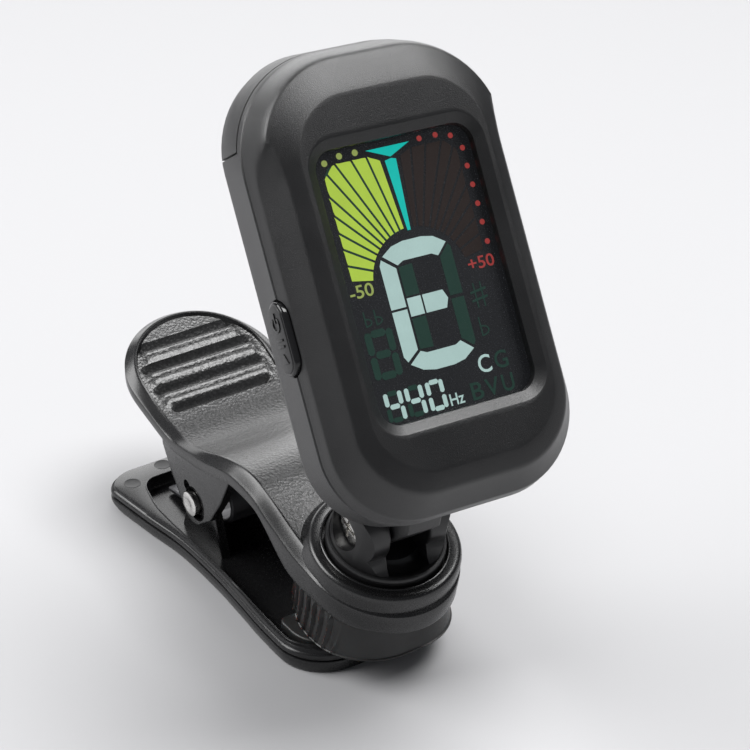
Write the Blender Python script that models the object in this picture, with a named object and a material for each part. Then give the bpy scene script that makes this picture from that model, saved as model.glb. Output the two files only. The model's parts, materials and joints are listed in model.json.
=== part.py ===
"""Clip-on tuner: a spring clip that lies on its lower jaw, with a tilting and swivelling display head.

Metres, +Z up.  +X runs along the clip from the thumb pad to the jaw tips, +Y is across the clip, and
the origin is the middle of the resting face under the lower jaw.
"""

import math

import bmesh
import bpy
from mathutils import Matrix, Vector

MM = 0.001
GAP = 0.3                      # clearance between two pieces that sit against each other

# ---- clip ------------------------------------------------------------------------------------
JAW_BACK, JAW_FRONT = -24.6, 21.8        # ends of the lower jaw along X
HEEL_CREASE = -23.2                        # where the heel's curve meets its first crease
SOLE_END = 21.4                          # the flat sole ends here in front and, below the heel, behind
JAW_HALF_WIDTH = 10.3
JAW_FLARE = ((-22, 1.17), (-14, 1.08), (-8, 1.0), (0, 0.99), (6, 1.02), (12, 1.06), (22, 1.07))
POCKET_FLARE = ((-21, 0.84), (-17, 0.95), (-14, 1.0), (0, 1.01), (6, 1.03), (12, 1.07), (20, 1.08))
TRAY_RIM, TRAY_FLOOR = 3.05, 1.6         # heights of the lower jaw's rim and of its pocket's floor
POCKET_BACK, POCKET_FRONT = -20.9, 20.1
POCKET_HALF_WIDTH = 9.35
LEVER_BACK = -27.2                       # thumb end of the upper jaw
LEVER_HALF_WIDTH = 9.5
LEVER_TAPER = 1 / 380                    # the lever is this much narrower for each millimetre along +X
RIM_WIDTH, RIM_STEP = 1.5, 0.45
PIN_X, PIN_Z, PIN_RADIUS = -7.1, 7.7, 1.40
PIN_HALF_LENGTH = 9.25
UPPER_EAR = (7.7, 9.0)                   # from and to, across the clip
LOWER_EAR = (6.2, 7.4)
SPRING_BEND, SPRING_THICK, SPRING_HALF_WIDTH = 3.1, 0.6, 5.6
THUMB_GROOVES = (-23.1, -20.1, -17.0, -14.1)

# ---- swivel ----------------------------------------------------------------------------------
BOSS_X, BOSS_Z = 21.0, 15.2              # centre of the boss's ring
BOSS_LEAN = math.radians(14.8)           # the boss's axis leans towards the jaw tips
SWIVEL_REST = math.radians(-4.1)         # the head is turned this far at rest
RING_OUTER, RING_INNER, RING_DEPTH = 8.5, 7.1, 2.0
YOKE_RADIUS, YOKE_DISC = 6.6, 6.8
HINGE_HEIGHT, EAR_RADIUS, SLOT_HALF = 4.2, 4.4, 2.45

# ---- head: h is the depth behind the front face, u is across it, v is up it --------------------
TILT_REST = math.radians(48.0)           # the head leans back this far from the boss's axis
FACE_AHEAD, FACE_ABOVE = 22.9, 23.0      # the hinge axis is this far behind and below the face's middle
PARTING = 5.2                            # depth of the front case
HEAD_DEPTH = 12.5
WALL = 1.25
DOOR_EDGE, DOOR_HALF_WIDTH, DOOR_FOOT = 17.3, 10.9, 1.5
DOOR_FRONT, PANEL_FRONT = 6.5, 10.9      # depths at which the door's cap and its rear panel begin
BUTTON_V, BUTTON_DEPTH, BUTTON_HALF, BUTTON_RADIUS = -1.95, 5.8, 3.85, 1.8
CELL_V, CELL_RADIUS, CELL_THICK = 5.2, 10.0, 3.2
SCREW_U, SCREW_V = 8.5, -18.4

MATERIALS = {
    "case_satin": ((0.020, 0.020, 0.022), 0.42, 0.0),
    "case_matte": ((0.030, 0.030, 0.033), 0.55, 0.0),
    "lever_black": ((0.022, 0.022, 0.024), 0.38, 0.0),
    "pad_rubber": ((0.055, 0.055, 0.058), 0.75, 0.0),
    "button_gloss": ((0.012, 0.012, 0.013), 0.18, 0.0),
    "steel": ((0.62, 0.62, 0.63), 0.25, 1.0),
    "spring_steel": ((0.42, 0.42, 0.44), 0.32, 1.0),
    "window_clear": ((0.05, 0.05, 0.055), 0.05, 0.0),
    "lcd_glass": ((0.030, 0.034, 0.034), 0.15, 0.0),
    "diffuser": ((0.82, 0.84, 0.82), 0.45, 0.0),
    "board_green": ((0.02, 0.16, 0.07), 0.45, 0.0),
    "chip_black": ((0.015, 0.015, 0.016), 0.35, 0.0),
    "brass_disc": ((0.72, 0.52, 0.20), 0.30, 1.0),
}


# ---- scene helpers -----------------------------------------------------------------------------
def clear_scene():
    for obj in list(bpy.data.objects):
        bpy.data.objects.remove(obj, do_unlink=True)
    for collection in list(bpy.data.collections):
        bpy.data.collections.remove(collection)


def new_collection(name):
    collection = bpy.data.collections.new(name)
    bpy.context.scene.collection.children.link(collection)
    return collection


def make_material(name):
    colour, roughness, metallic = MATERIALS[name]
    material = bpy.data.materials.get(name) or bpy.data.materials.new(name)
    material.use_nodes = True
    shader = material.node_tree.nodes["Principled BSDF"]
    shader.inputs["Base Color"].default_value = (*colour, 1.0)
    shader.inputs["Roughness"].default_value = roughness
    shader.inputs["Metallic"].default_value = metallic
    return material


clear_scene()
PARTS = new_collection("clip_on_tuner")
CUTTERS = new_collection("cutters")
CUTTERS.hide_render = True

PIN = Matrix.Translation(Vector((PIN_X, 0, PIN_Z)) * MM)
BOSS_AXIS = Vector((math.sin(BOSS_LEAN), 0, math.cos(BOSS_LEAN)))
BOSS = Matrix.Translation(Vector((BOSS_X, 0, BOSS_Z)) * MM) @ Matrix.Rotation(BOSS_LEAN, 4, "Y")
YOKE = BOSS @ Matrix.Rotation(SWIVEL_REST, 4, "Z")
HEAD = YOKE @ Matrix.Translation((0, 0, HINGE_HEIGHT * MM)) @ Matrix.Rotation(-TILT_REST, 4, "Y")
WORLD = Matrix.Identity(4)


def finish(name, mesh, frame, material, smooth):
    """Link a mesh, whose points are in the frame, as a node, or as a cutter when it has no material."""
    obj = bpy.data.objects.new(name, mesh)
    obj.matrix_world = frame
    if material is None:
        CUTTERS.objects.link(obj)
        obj.display_type = "WIRE"
        obj.hide_render = True
    else:
        PARTS.objects.link(obj)
        mesh.materials.append(make_material(material))
    if smooth:
        mesh.shade_smooth()
        mesh.set_sharp_from_angle(angle=math.radians(35))
    return obj


def solid(name, points, faces, frame, material=None, smooth=True):
    """A closed body from points in millimetres, with its faces turned outwards."""
    work = bmesh.new()
    verts = [work.verts.new(Vector(point) * MM) for point in points]
    for face in faces:
        work.faces.new([verts[index] for index in face])
    bmesh.ops.recalc_face_normals(work, faces=work.faces)
    if work.calc_volume(signed=True) < 0:
        bmesh.ops.reverse_faces(work, faces=work.faces)
    mesh = bpy.data.meshes.new(name)
    work.to_mesh(mesh)
    work.free()
    return finish(name, mesh, frame, material, smooth)


def loft(name, rings, frame, material=None, mirrored_caps=False):
    """Join rings of equal length.  A mirrored cap pairs each point with the one across the middle."""
    count = len(rings[0])
    points = [point for ring in rings for point in ring]
    faces = []
    for level in range(len(rings) - 1):
        base = level * count
        for i in range(count):
            j = (i + 1) % count
            faces.append((base + i, base + j, base + count + j, base + count + i))
    for base in (0, (len(rings) - 1) * count):
        if not mirrored_caps:
            faces.append([base + i for i in range(count)])
            continue
        half = count // 2
        faces.append([base + k for k in (0, 1, 2, count - 2, count - 1)])
        faces.append([base + k for k in (half - 2, half - 1, half, half + 1, half + 2)])
        for i in range(2, half - 2):
            faces.append([base + k for k in (i, i + 1, count - i - 1, count - i)])
    return solid(name, points, faces, frame, material)


def prism(name, outline, lo, hi, frame, material=None, axis="Y"):
    """Extrude a closed 2-D outline along one axis of the frame."""
    place = {
        "X": lambda a, b, c: (c, a, b),
        "Y": lambda a, b, c: (a, c, b),
        "Z": lambda a, b, c: (a, b, c),
    }[axis]
    return loft(name, [[place(a, b, c) for a, b in outline] for c in (lo, hi)], frame, material)


def block(name, x, y, z, frame, material=None):
    outline = [(x[0], y[0]), (x[1], y[0]), (x[1], y[1]), (x[0], y[1])]
    return prism(name, outline, z[0], z[1], frame, material, "Z")


def circle(radius, centre=(0, 0), count=32, start=0.0, end=360.0):
    """Points of a circle, or of an arc with both its ends."""
    closed = abs(end - start) >= 360
    steps = count if closed else count + 1
    angles = [math.radians(start + (end - start) * i / count) for i in range(steps)]
    return [(centre[0] + radius * math.cos(a), centre[1] + radius * math.sin(a)) for a in angles]


def turned(name, profile, frame, material=None, count=48):
    """Revolve (radius, height) points, which run up the outer side, about the frame's Z axis."""
    rings = [[(r * math.cos(2 * math.pi * i / count), r * math.sin(2 * math.pi * i / count), z)
              for i in range(count)] for r, z in profile]
    return loft(name, rings, frame, material)


def boolean(target, other, operation="DIFFERENCE"):
    modifier = target.modifiers.new(f"{operation.lower()}_{other.name}", "BOOLEAN")
    modifier.operation = operation
    modifier.solver = "EXACT"
    modifier.object = other
    return target


def smoothstep_curve(stations, x):
    """Height at x on a smooth curve through (x, height) stations."""
    if x <= stations[0][0]:
        return stations[0][1]
    for k in range(len(stations) - 1):
        (x0, z0), (x1, z1) = stations[k], stations[k + 1]
        if x > x1:
            continue
        before = stations[max(k - 1, 0)]
        after = stations[min(k + 2, len(stations) - 1)]
        m0 = (z1 - before[1]) / (x1 - before[0]) * (x1 - x0)
        m1 = (after[1] - z0) / (after[0] - x0) * (x1 - x0)
        t = (x - x0) / (x1 - x0)
        a, b = 2 * t**3 - 3 * t**2 + 1, t**3 - 2 * t**2 + t
        c, d = -2 * t**3 + 3 * t**2, t**3 - t**2
        return a * z0 + b * m0 + c * z1 + d * m1
    return stations[-1][1]


def plan_outline(back, front, half_width, back_radius, front_radius, offset=0.0, straight=16, arc=9):
    """Outline from the front's middle round to the left and back, with the same points each side."""
    half = half_width - offset
    one_side = []
    for k in range(arc + 1):
        angle = math.pi / 2 * k / arc
        radius = max(front_radius - offset, 0.2)
        one_side.append((front - offset - radius + radius * math.cos(angle),
                         half - radius + radius * math.sin(angle)))
    x_from, x_to = one_side[-1][0], back + max(back_radius, offset + 0.2)
    for k in range(1, straight):
        one_side.append((x_from + (x_to - x_from) * k / straight, half))
    for k in range(arc + 1):
        angle = math.pi / 2 * (1 + k / arc)
        radius = max(back_radius - offset, 0.2)
        one_side.append((back + offset + radius + radius * math.cos(angle),
                         half - radius + radius * math.sin(angle)))
    if one_side[0][1] > 1e-6:
        one_side.insert(0, (one_side[0][0], 0.0))
        one_side.append((one_side[-1][0], 0.0))
    else:
        one_side[0] = (one_side[0][0], 0.0)
        one_side[-1] = (one_side[-1][0], 0.0)
    return one_side + [(x, -y) for x, y in reversed(one_side[1:-1])]


# ---- lower jaw -----------------------------------------------------------------------------------
def flared(outline, stations):
    """An outline made wider or narrower along X, by the factors at the stations."""
    return [(x, y * smoothstep_curve(stations, x)) for x, y in outline]


def jaw_ring(offset, z, back=JAW_BACK):
    outline = plan_outline(back, JAW_FRONT, JAW_HALF_WIDTH, 3.4, 6.0, offset, straight=6, arc=7)
    return [(x - PIN_X, y, z - PIN_Z) for x, y in flared(outline, JAW_FLARE)]


lower_jaw = loft(
    "lower_jaw",
    [jaw_ring(0.4, 0.0, -SOLE_END - 0.4), jaw_ring(0.2, 0.15, HEEL_CREASE), jaw_ring(0.12, 0.8),
     jaw_ring(0.08, 1.6), jaw_ring(0.4, 1.8), jaw_ring(0.4, 1.95), jaw_ring(0.0, 2.1), jaw_ring(0.0, 2.85),
     jaw_ring(0.2, TRAY_RIM)],
    PIN, "lever_black", mirrored_caps=True)
pocket = flared(plan_outline(POCKET_BACK, POCKET_FRONT, POCKET_HALF_WIDTH, 2.0, 4.5, 0.0, 6, 6), POCKET_FLARE)
boolean(lower_jaw, prism("cut_tray", pocket, TRAY_FLOOR, TRAY_RIM + 3, WORLD, axis="Z"))
for side in (-1, 1):
    near, far = sorted((side * LOWER_EAR[0], side * LOWER_EAR[1]))
    outline = [(-5.2, 0.6 - PIN_Z), (4.6, 0.6 - PIN_Z), *circle(2.7, (0, 0), 12, -5, 185)]
    boolean(lower_jaw, prism(f"add_lower_ear_{side}", outline, near, far, PIN), "UNION")
boolean(lower_jaw, prism("cut_lower_ear_hole", circle(PIN_RADIUS + 0.08), -8, 8, PIN))

# ---- upper jaw -----------------------------------------------------------------------------------
LEVER_FRONT = BOSS_X + 8.4 * math.cos(BOSS_LEAN)
EDGE = ((LEVER_BACK, 21.3), (-23, 19.6), (-19.8, 18.5), (-15, 16.9), (-10.3, 15.6), (-7, 15.7), (-3.2, 16.1),
        (1, 17.1), (3.7, 17.5), (8, 17), (10.1, 16), (12.2, 15.1), (16.3, 13.6), (20.4, 12.8),
        (LEVER_FRONT, 10.4))
CREST = ((LEVER_BACK, 22.3), (-23, 20.6), (-19, 19), (-15, 17.3), (-11, 16.1), (-7.5, 15.85), (-4, 16.6),
         (0, 17.9), (4, 18.7), (7.5, 18.5), (11, 17.3), (15, 15.6), (21, 13.7), (LEVER_FRONT, 11.1))


def edge_height(x):
    return smoothstep_curve(EDGE, x)


def lever_floor(x):
    """Underside of the lever."""
    return edge_height(x) - 1.45


def lever_ring(offset, height):
    outline = plan_outline(LEVER_BACK, LEVER_FRONT, LEVER_HALF_WIDTH, 9.5, 9.4, offset, straight=18, arc=9)
    return [(x - PIN_X, y * (1 - x * LEVER_TAPER), height(x) - PIN_Z) for x, y in outline]


upper_jaw = loft(
    "upper_jaw",
    [lever_ring(0.5, lever_floor),
     lever_ring(0.0, lambda x: lever_floor(x) + 0.3),
     lever_ring(0.0, edge_height),
     lever_ring(RIM_WIDTH, lambda x: smoothstep_curve(CREST, x)),
     lever_ring(RIM_WIDTH + 0.3, lambda x: smoothstep_curve(CREST, x) - RIM_STEP)],
    PIN, "lever_black", mirrored_caps=True)
ear_top = [(x - PIN_X, lever_floor(x) + 0.55 - PIN_Z) for x in (2.8, 0.5, -2.5, -5, -7.5, -10, -13.6)]
ear_outline = [*ear_top, (-6.2, 5.2), (-4.1, 1.8), *circle(2.5, (0.55, 0.1), 10, 205, 318),
               (4.7, 0.1), (7.3, 3.9)]
for side in (-1, 1):
    near, far = sorted((side * UPPER_EAR[0], side * UPPER_EAR[1]))
    boolean(upper_jaw, prism(f"add_upper_ear_{side}", ear_outline, near, far, PIN), "UNION")
boolean(upper_jaw, prism("cut_upper_ear_hole", circle(PIN_RADIUS + 0.08), -12, 12, PIN))
boss_profile = [(0.3, -3.4), (8.6, -3.4), (8.7, -1.5), (8.65, -0.6), (RING_OUTER, -0.1), (8.2, 0.0),
                (0.3, 0.0)]
boolean(upper_jaw, turned("add_boss", boss_profile, BOSS), "UNION")
boolean(upper_jaw, turned("cut_boss", [(0.2, -RING_DEPTH), (RING_INNER, -RING_DEPTH), (RING_INNER + 0.2, 1.0),
                                       (0.2, 1.0)], BOSS))
boolean(upper_jaw, turned("cut_swivel_hole", [(1.6, -9.0), (1.6, 1.0)], BOSS, count=32))
boolean(upper_jaw, turned("cut_screw_pocket", [(3.6, -9.0), (3.6, -3.2)], BOSS, count=32))
for index, x in enumerate(THUMB_GROOVES):
    half = 7.2 if index in (0, 3) else 8.0
    lift = smoothstep_curve(CREST, x) - RIM_STEP + 0.45
    groove = prism(f"cut_groove_{index}", circle(0.9, (x - PIN_X, lift - PIN_Z), 16), -half, half, PIN)
    boolean(upper_jaw, groove)

# ---- pivot pin and spring ------------------------------------------------------------------------
pin_profile = [(0.9, -PIN_HALF_LENGTH), (PIN_RADIUS, -PIN_HALF_LENGTH + 0.3),
               (PIN_RADIUS, PIN_HALF_LENGTH - 0.3), (0.9, PIN_HALF_LENGTH)]
ACROSS = Matrix.Rotation(-math.pi / 2, 4, "X")
turned("pivot_pin", pin_profile, PIN @ ACROSS, "steel", 32)

arms = [(-12.4, 8.5), (-8.5, 6.35), (-4.6, 4.2)]
bend = [(SPRING_BEND * math.cos(a), SPRING_BEND * math.sin(a))
        for a in (math.radians(105 - 15 * k) for k in range(14))]
path = [*arms, *bend, (-5.0, -4.25), (-8.6, -5.0), (-11.6, -5.5)]


def strip_outline(centre, thickness):
    """Outline of a bent strip of even thickness along a centre line."""
    left, right = [], []
    for k, (x, z) in enumerate(centre):
        ahead = centre[min(k + 1, len(centre) - 1)]
        behind = centre[max(k - 1, 0)]
        along = Vector((ahead[0] - behind[0], ahead[1] - behind[1])).normalized()
        normal = Vector((-along.y, along.x)) * thickness / 2
        left.append((x + normal.x, z + normal.y))
        right.append((x - normal.x, z - normal.y))
    return left, right


def strip(name, centre, thickness, lo, hi, frame, material):
    left, right = strip_outline(centre, thickness)
    rings = []
    for (a, b), (c, d) in zip(left, right):
        rings.append([(a, lo, b), (a, hi, b), (c, hi, d), (c, lo, d)])
    return loft(name, rings, frame, material)


strip("clip_spring", path, SPRING_THICK, -SPRING_HALF_WIDTH, SPRING_HALF_WIDTH, PIN, "spring_steel")


# ---- pads ----------------------------------------------------------------------------------------
def pad_outline(offset, ribbed=True):
    """The pad's plan, with upright ribs on the back half of each side."""
    base = plan_outline(12.4, 26.8, 8.3, 5.0, 7.0, offset, straight=10, arc=12)
    points = []
    for x, y in base:
        rib = 0.16 * math.cos((x - 15) * 2 * math.pi / 1.3) if ribbed and 15.5 < x < 20 else 0.0
        points.append((x, y + math.copysign(rib, y) if abs(y) > 7 else y))
    return points


def pad_ring(offset, height, ribbed=True):
    return [(x - PIN_X, y, height(x) - PIN_Z) for x, y in pad_outline(offset, ribbed)]


upper_pad = loft(
    "upper_pad",
    [pad_ring(3.0, lambda x: 3.4, False), pad_ring(1.4, lambda x: 3.55, False), pad_ring(0.35, lambda x: 4.6),
     pad_ring(0.0, lambda x: 5.9), pad_ring(0.0, lambda x: lever_floor(x) - 1.0),
     pad_ring(0.5, lambda x: lever_floor(x) - GAP)],
    PIN, "pad_rubber", mirrored_caps=True)
boolean(upper_pad, turned("cut_pad_pocket", [(3.5, -5.1), (3.5, 4.0)], BOSS, count=32))
pad_plan = plan_outline(12.6, POCKET_FRONT - GAP, POCKET_HALF_WIDTH - GAP, 1.5, 4.3, 0.0, 2, 5)
prism("lower_pad", pad_plan, TRAY_FLOOR + GAP, TRAY_RIM + 0.1, WORLD, "pad_rubber", "Z")

# ---- swivel yoke and its screw ---------------------------------------------------------------------
yoke_profile = [(6.6, -1.75), (YOKE_DISC, -1.5), (YOKE_DISC, -0.75), (6.75, -0.55), (6.7, -0.5),
                (YOKE_RADIUS, 0.2), (YOKE_RADIUS, 8.7)]
yoke = turned("swivel_yoke", yoke_profile, YOKE, "lever_black")
tab = [(-7.5, -3.0), (7.5, -3.0), (7.5, 0.4), (5.6, 1.0),
       *circle(EAR_RADIUS, (0, HINGE_HEIGHT), 18, -18, 198), (-5.6, 1.0), (-7.5, 0.4)]
boolean(yoke, prism("keep_yoke_tab", tab, -9, 9, YOKE), "INTERSECT")
boolean(yoke, block("cut_yoke_slot", (-9, 9), (-SLOT_HALF, SLOT_HALF), (0.75, 12), YOKE))
HINGE = YOKE @ Matrix.Translation((0, 0, HINGE_HEIGHT * MM)) @ ACROSS
boolean(yoke, turned("cut_yoke_bore", [(1.08, -9), (1.08, 9)], HINGE, count=24))
boolean(yoke, turned("cut_head_seat", [(2.45, -9), (2.45, -3.0)], HINGE, count=32))
boolean(yoke, turned("cut_nut_seat", [(2.35, 3.6), (2.35, 9)], HINGE, count=32))
boolean(yoke, turned("cut_yoke_thread", [(1.5, -4.0), (1.5, 0.15)], YOKE, count=24))
swivel_screw = turned("swivel_screw", [(2.5, -4.75), (2.8, -4.5), (2.8, -3.75), (1.42, -3.75), (1.42, -0.1)],
                      BOSS, "steel", 24)
boolean(swivel_screw, block("cut_swivel_driver", (-3, 3), (-0.35, 0.35), (-5.2, -4.3), BOSS))
washer = turned("swivel_washer", [(3.2, -3.55), (3.2, -3.3)], BOSS, "steel", 32)
boolean(washer, turned("cut_washer", [(1.7, -5), (1.7, -1)], BOSS, count=24))
hinge_screw = turned("hinge_screw", [(1.9, -4.5), (2.2, -4.3), (2.2, -3.2), (1.0, -3.2), (1.0, 4.9)],
                     HINGE, "steel", 32)
boolean(hinge_screw, block("cut_hinge_driver", (-3, 3), (-0.3, 0.3), (-6, -4.05), HINGE))
nut = prism("hinge_nut", circle(2.1, count=6), 3.8, 5.2, HINGE, "steel", "Z")
boolean(nut, turned("cut_nut", [(1.08, 3), (1.08, 6)], HINGE, count=24))


# ---- head ------------------------------------------------------------------------------------------
def section(h, half, bottom, top, corner_low, corner_high, arc=8):
    """Closed outline of the head at depth h: across +-half, and from bottom to top."""
    corners = ((half - corner_high, top - corner_high, corner_high, 0),
               (-half + corner_high, top - corner_high, corner_high, 90),
               (-half + corner_low, bottom + corner_low, corner_low, 180),
               (half - corner_low, bottom + corner_low, corner_low, 270))
    ring = []
    for u, v, radius, start in corners:
        for k in range(arc + 1):
            angle = math.radians(start + 90 * k / arc)
            across, up = u + radius * math.cos(angle), v + radius * math.sin(angle)
            ring.append((FACE_AHEAD - h, across, FACE_ABOVE + up))
    return ring


def head_block(name, h, u, v, material=None):
    x = (FACE_AHEAD - h[1], FACE_AHEAD - h[0])
    return block(name, x, u, (FACE_ABOVE + v[0], FACE_ABOVE + v[1]), HEAD, material)


def head_disc(name, profile, u, v, material=None, count=40):
    """A turned piece whose axis runs straight back from (u, v); profile heights are depths."""
    place = Matrix.Translation(Vector((FACE_AHEAD, u, FACE_ABOVE + v)) * MM)
    frame = HEAD @ place @ Matrix.Rotation(-math.pi / 2, 4, "Y")
    return turned(name, profile, frame, material, count)


front_case = loft(
    "front_case",
    [section(0.0, 10.65, -18.6, 20.4, 6.5, 6.0), section(0.9, 12.4, -20.9, 22.7, 7.5, 8.0),
     section(2.4, 13.4, -22.2, 24.2, 8.2, 9.0), section(3.8, 14.3, -23.3, 24.75, 9.0, 9.5),
     section(PARTING, 14.4, -23.4, 24.8, 9.0, 9.5)],
    HEAD, "case_satin")
boolean(front_case, loft(
    "cut_front_cavity",
    [section(1.55, 11.2, -19.8, 21.2, 6.5, 7.0), section(2.6, 12.1, -20.8, 22.6, 7.2, 8.0),
     section(PARTING + 0.4, 14.4 - WALL, -22.1, 23.5, 8.0, 8.5)], HEAD))
boolean(front_case, loft(
    "cut_window",
    [section(-0.5, 11.1, -15.2, 16.95, 3.6, 3.6, 5), section(0.6, 9.1, -13.2, 14.95, 2.2, 2.2, 5),
     section(1.9, 9.1, -13.2, 14.95, 2.2, 2.2, 5)], HEAD))
for side in (-1, 1):
    post = head_disc(f"add_post_{side}", [(1.7, 1.3), (1.7, 9.0)], side * SCREW_U, SCREW_V, count=20)
    boolean(front_case, post, "UNION")
    bore = head_disc(f"cut_post_{side}", [(0.62, 4.0), (0.62, 9.6)], side * SCREW_U, SCREW_V, count=16)
    boolean(front_case, bore)

rear_outer = [section(PARTING + 0.25, 14.4, -23.4, 24.8, 9.0, 9.5),
              section(10.4, 13.9, -23.4, 24.3, 8.6, 9.0),
              section(11.8, 13.1, -22.7, 23.5, 8.0, 8.4),
              section(HEAD_DEPTH, 12.0, -21.7, 22.4, 7.2, 7.5)]
rear_inner = [section(PARTING - 0.4, 14.4 - WALL, -22.1, 23.5, 8.0, 8.5),
              section(10.1, 12.6, -22.0, 23.0, 7.6, 8.0),
              section(HEAD_DEPTH - 1.2, 11.9, -21.4, 22.2, 7.0, 7.4)]
rear_case = loft("rear_case", rear_outer, HEAD, "case_matte")
boolean(rear_case, loft("cut_rear_cavity", rear_inner, HEAD))
arm = [(-12.0, -13.5), (-12.9, -13.2), (-21.4, -20.2), *circle(3.1, (-FACE_AHEAD, -FACE_ABOVE), 14, 60, 262),
       (-16.2, -25.2), (-12.0, -21.3)]
arm = [(x + FACE_AHEAD, z + FACE_ABOVE) for x, z in arm]
boolean(rear_case, prism("add_hinge_arm", arm, -2.15, 2.15, HEAD), "UNION")
boolean(rear_case, prism("cut_arm_bore", circle(1.08, (0, 0), 24), -4, 4, HEAD))
boolean(rear_case, head_block("cut_door_cap", (DOOR_FRONT - GAP, 20), (-20, 20), (DOOR_EDGE - GAP, 30)))
door_gap = (-DOOR_HALF_WIDTH - GAP, DOOR_HALF_WIDTH + GAP)
boolean(rear_case, head_block("cut_door_panel", (PANEL_FRONT, 20), door_gap, (DOOR_FOOT - GAP, 30)))
battery_door = loft("battery_door", rear_outer, HEAD, "case_matte")
boolean(battery_door, loft("cut_door_cavity", rear_inner, HEAD))
keep = head_block("keep_door", (DOOR_FRONT, 20), (-20, 20), (DOOR_EDGE, 30))
door_width = (-DOOR_HALF_WIDTH, DOOR_HALF_WIDTH)
keep_panel = head_block("keep_door_panel", (PANEL_FRONT, 20), door_width, (DOOR_FOOT, 30))
boolean(keep, keep_panel, "UNION")
boolean(battery_door, keep, "INTERSECT")


def capsule(name, half, radius, u, material=None):
    """A capsule-shaped prism across the head's side wall, from u[0] to u[1]."""
    x, z = FACE_AHEAD - BUTTON_DEPTH, FACE_ABOVE + BUTTON_V
    reach = half - radius
    outline = [*circle(radius, (x, z + reach), 10, 0, 180), *circle(radius, (x, z - reach), 10, 180, 360)]
    return prism(name, outline, u[0], u[1], HEAD, material)


for case in (front_case, rear_case):
    boolean(case, capsule(f"cut_button_{case.name}", BUTTON_HALF + 0.2, BUTTON_RADIUS + 0.2, (-20, -11)))
power_button = capsule("power_button", BUTTON_HALF, BUTTON_RADIUS, (-14.95, -12.2), "button_gloss")
flange = capsule("add_button_flange", BUTTON_HALF + 0.8, BUTTON_RADIUS + 0.45, (-12.2, -11.8))
boolean(power_button, flange, "UNION")

for side, label in ((-1, "left"), (1, "right")):
    seat = head_disc(f"cut_case_screw_{label}", [(0.75, 8.0), (0.75, 11.9), (1.45, 11.9), (1.45, 14.0)],
                     side * SCREW_U, SCREW_V, count=20)
    boolean(rear_case, seat)
    screw = head_disc(f"case_screw_{label}", [(0.5, 5.2), (0.5, 11.95), (1.25, 12.0), (1.25, 12.4)],
                      side * SCREW_U, SCREW_V, "steel", 16)
    across = (side * SCREW_U - 2, side * SCREW_U + 2)
    slot = head_block(f"cut_screw_slot_{label}", (12.15, 14), across, (SCREW_V - 0.17, SCREW_V + 0.17))
    boolean(screw, slot)

window_sections = [section(1.65 + d, 10.4, -14.6, 16.2, 3.0, 3.0, 4) for d in (0, 0.6)]
loft("display_window", window_sections, HEAD, "window_clear")
head_block("lcd_panel", (2.45, 3.95), (-10.2, 10.2), (-15.2, 16.0), "lcd_glass")
head_block("backlight_plate", (4.1, 5.1), (-9.8, 9.8), (-12.6, 15.6), "diffuser")
head_block("lcd_connector", (4.05, 5.25), (-9.5, 9.5), (-14.9, -13.2), "pad_rubber")
board = head_block("circuit_board", (5.35, 6.35), (-11.2, 11.2), (-15.9, 16.4), "board_green")
boolean(board, capsule("cut_board_notch", BUTTON_HALF + 1.2, BUTTON_RADIUS + 2.0, (-20, -11.0)))
head_block("tuner_chip", (6.45, 7.25), (2.2, 8.6), (-14.2, -7.8), "chip_black")
switch_height = (BUTTON_V - 2.2, BUTTON_V + 2.2)
switch = head_block("tact_switch", (6.45, 8.15), (-10.3, -7.2), switch_height, "chip_black")
head_disc("coin_cell", [(9.6, 7.85), (CELL_RADIUS, 8.25), (CELL_RADIUS, 7.85 + CELL_THICK - 0.2),
                        (9.8, 7.85 + CELL_THICK)], 0, CELL_V + 1.4, "steel", 48)
head_block("contact_minus", (6.65, 7.55), (-2.0, 2.0), (-2.0, 12.0), "brass_disc")
head_block("contact_plus", (7.9, 10.6), (10.35, 10.85), (4.0, 9.0), "brass_disc")
head_disc("piezo_sensor", [(4.8, 10.6), (4.8, 11.05)], 0, -12.4, "brass_disc", 32)
stem = head_block("add_button_stem", (6.45, 7.45), (-12.0, -10.9), (BUTTON_V - 0.8, BUTTON_V + 0.8))
boolean(power_button, stem, "UNION")
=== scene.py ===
"""Looks of the clip-on tuner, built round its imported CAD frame.

Lengths in the mesh code are millimetres.  Head sections use h, the depth behind the face, u across it
and v up it.
"""

import json
import math

import bmesh
import bpy
from mathutils import Matrix, Vector


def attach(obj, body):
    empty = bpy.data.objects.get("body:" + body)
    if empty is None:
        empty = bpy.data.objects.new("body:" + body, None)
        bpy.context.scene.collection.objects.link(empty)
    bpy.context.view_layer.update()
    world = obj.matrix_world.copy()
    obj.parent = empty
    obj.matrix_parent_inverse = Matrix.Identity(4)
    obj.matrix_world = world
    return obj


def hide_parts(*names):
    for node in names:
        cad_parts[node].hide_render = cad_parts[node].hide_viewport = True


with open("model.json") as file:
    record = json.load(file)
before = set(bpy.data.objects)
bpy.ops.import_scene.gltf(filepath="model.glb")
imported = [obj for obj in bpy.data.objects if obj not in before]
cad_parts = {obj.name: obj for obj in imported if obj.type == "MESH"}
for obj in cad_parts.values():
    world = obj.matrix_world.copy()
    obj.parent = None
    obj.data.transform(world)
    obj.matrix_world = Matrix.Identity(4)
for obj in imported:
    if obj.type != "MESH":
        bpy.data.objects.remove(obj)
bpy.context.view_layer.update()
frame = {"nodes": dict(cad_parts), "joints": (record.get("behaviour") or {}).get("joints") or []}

MM = 0.001
SCENE = bpy.context.scene
JOINTS = {joint["name"]: joint for joint in frame["joints"]}


def placed(x, y, z, origin):
    """A frame with these axes and this origin."""
    matrix = Matrix((x, y, z)).transposed().to_4x4()
    matrix.translation = Vector(origin)
    return matrix


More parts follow.
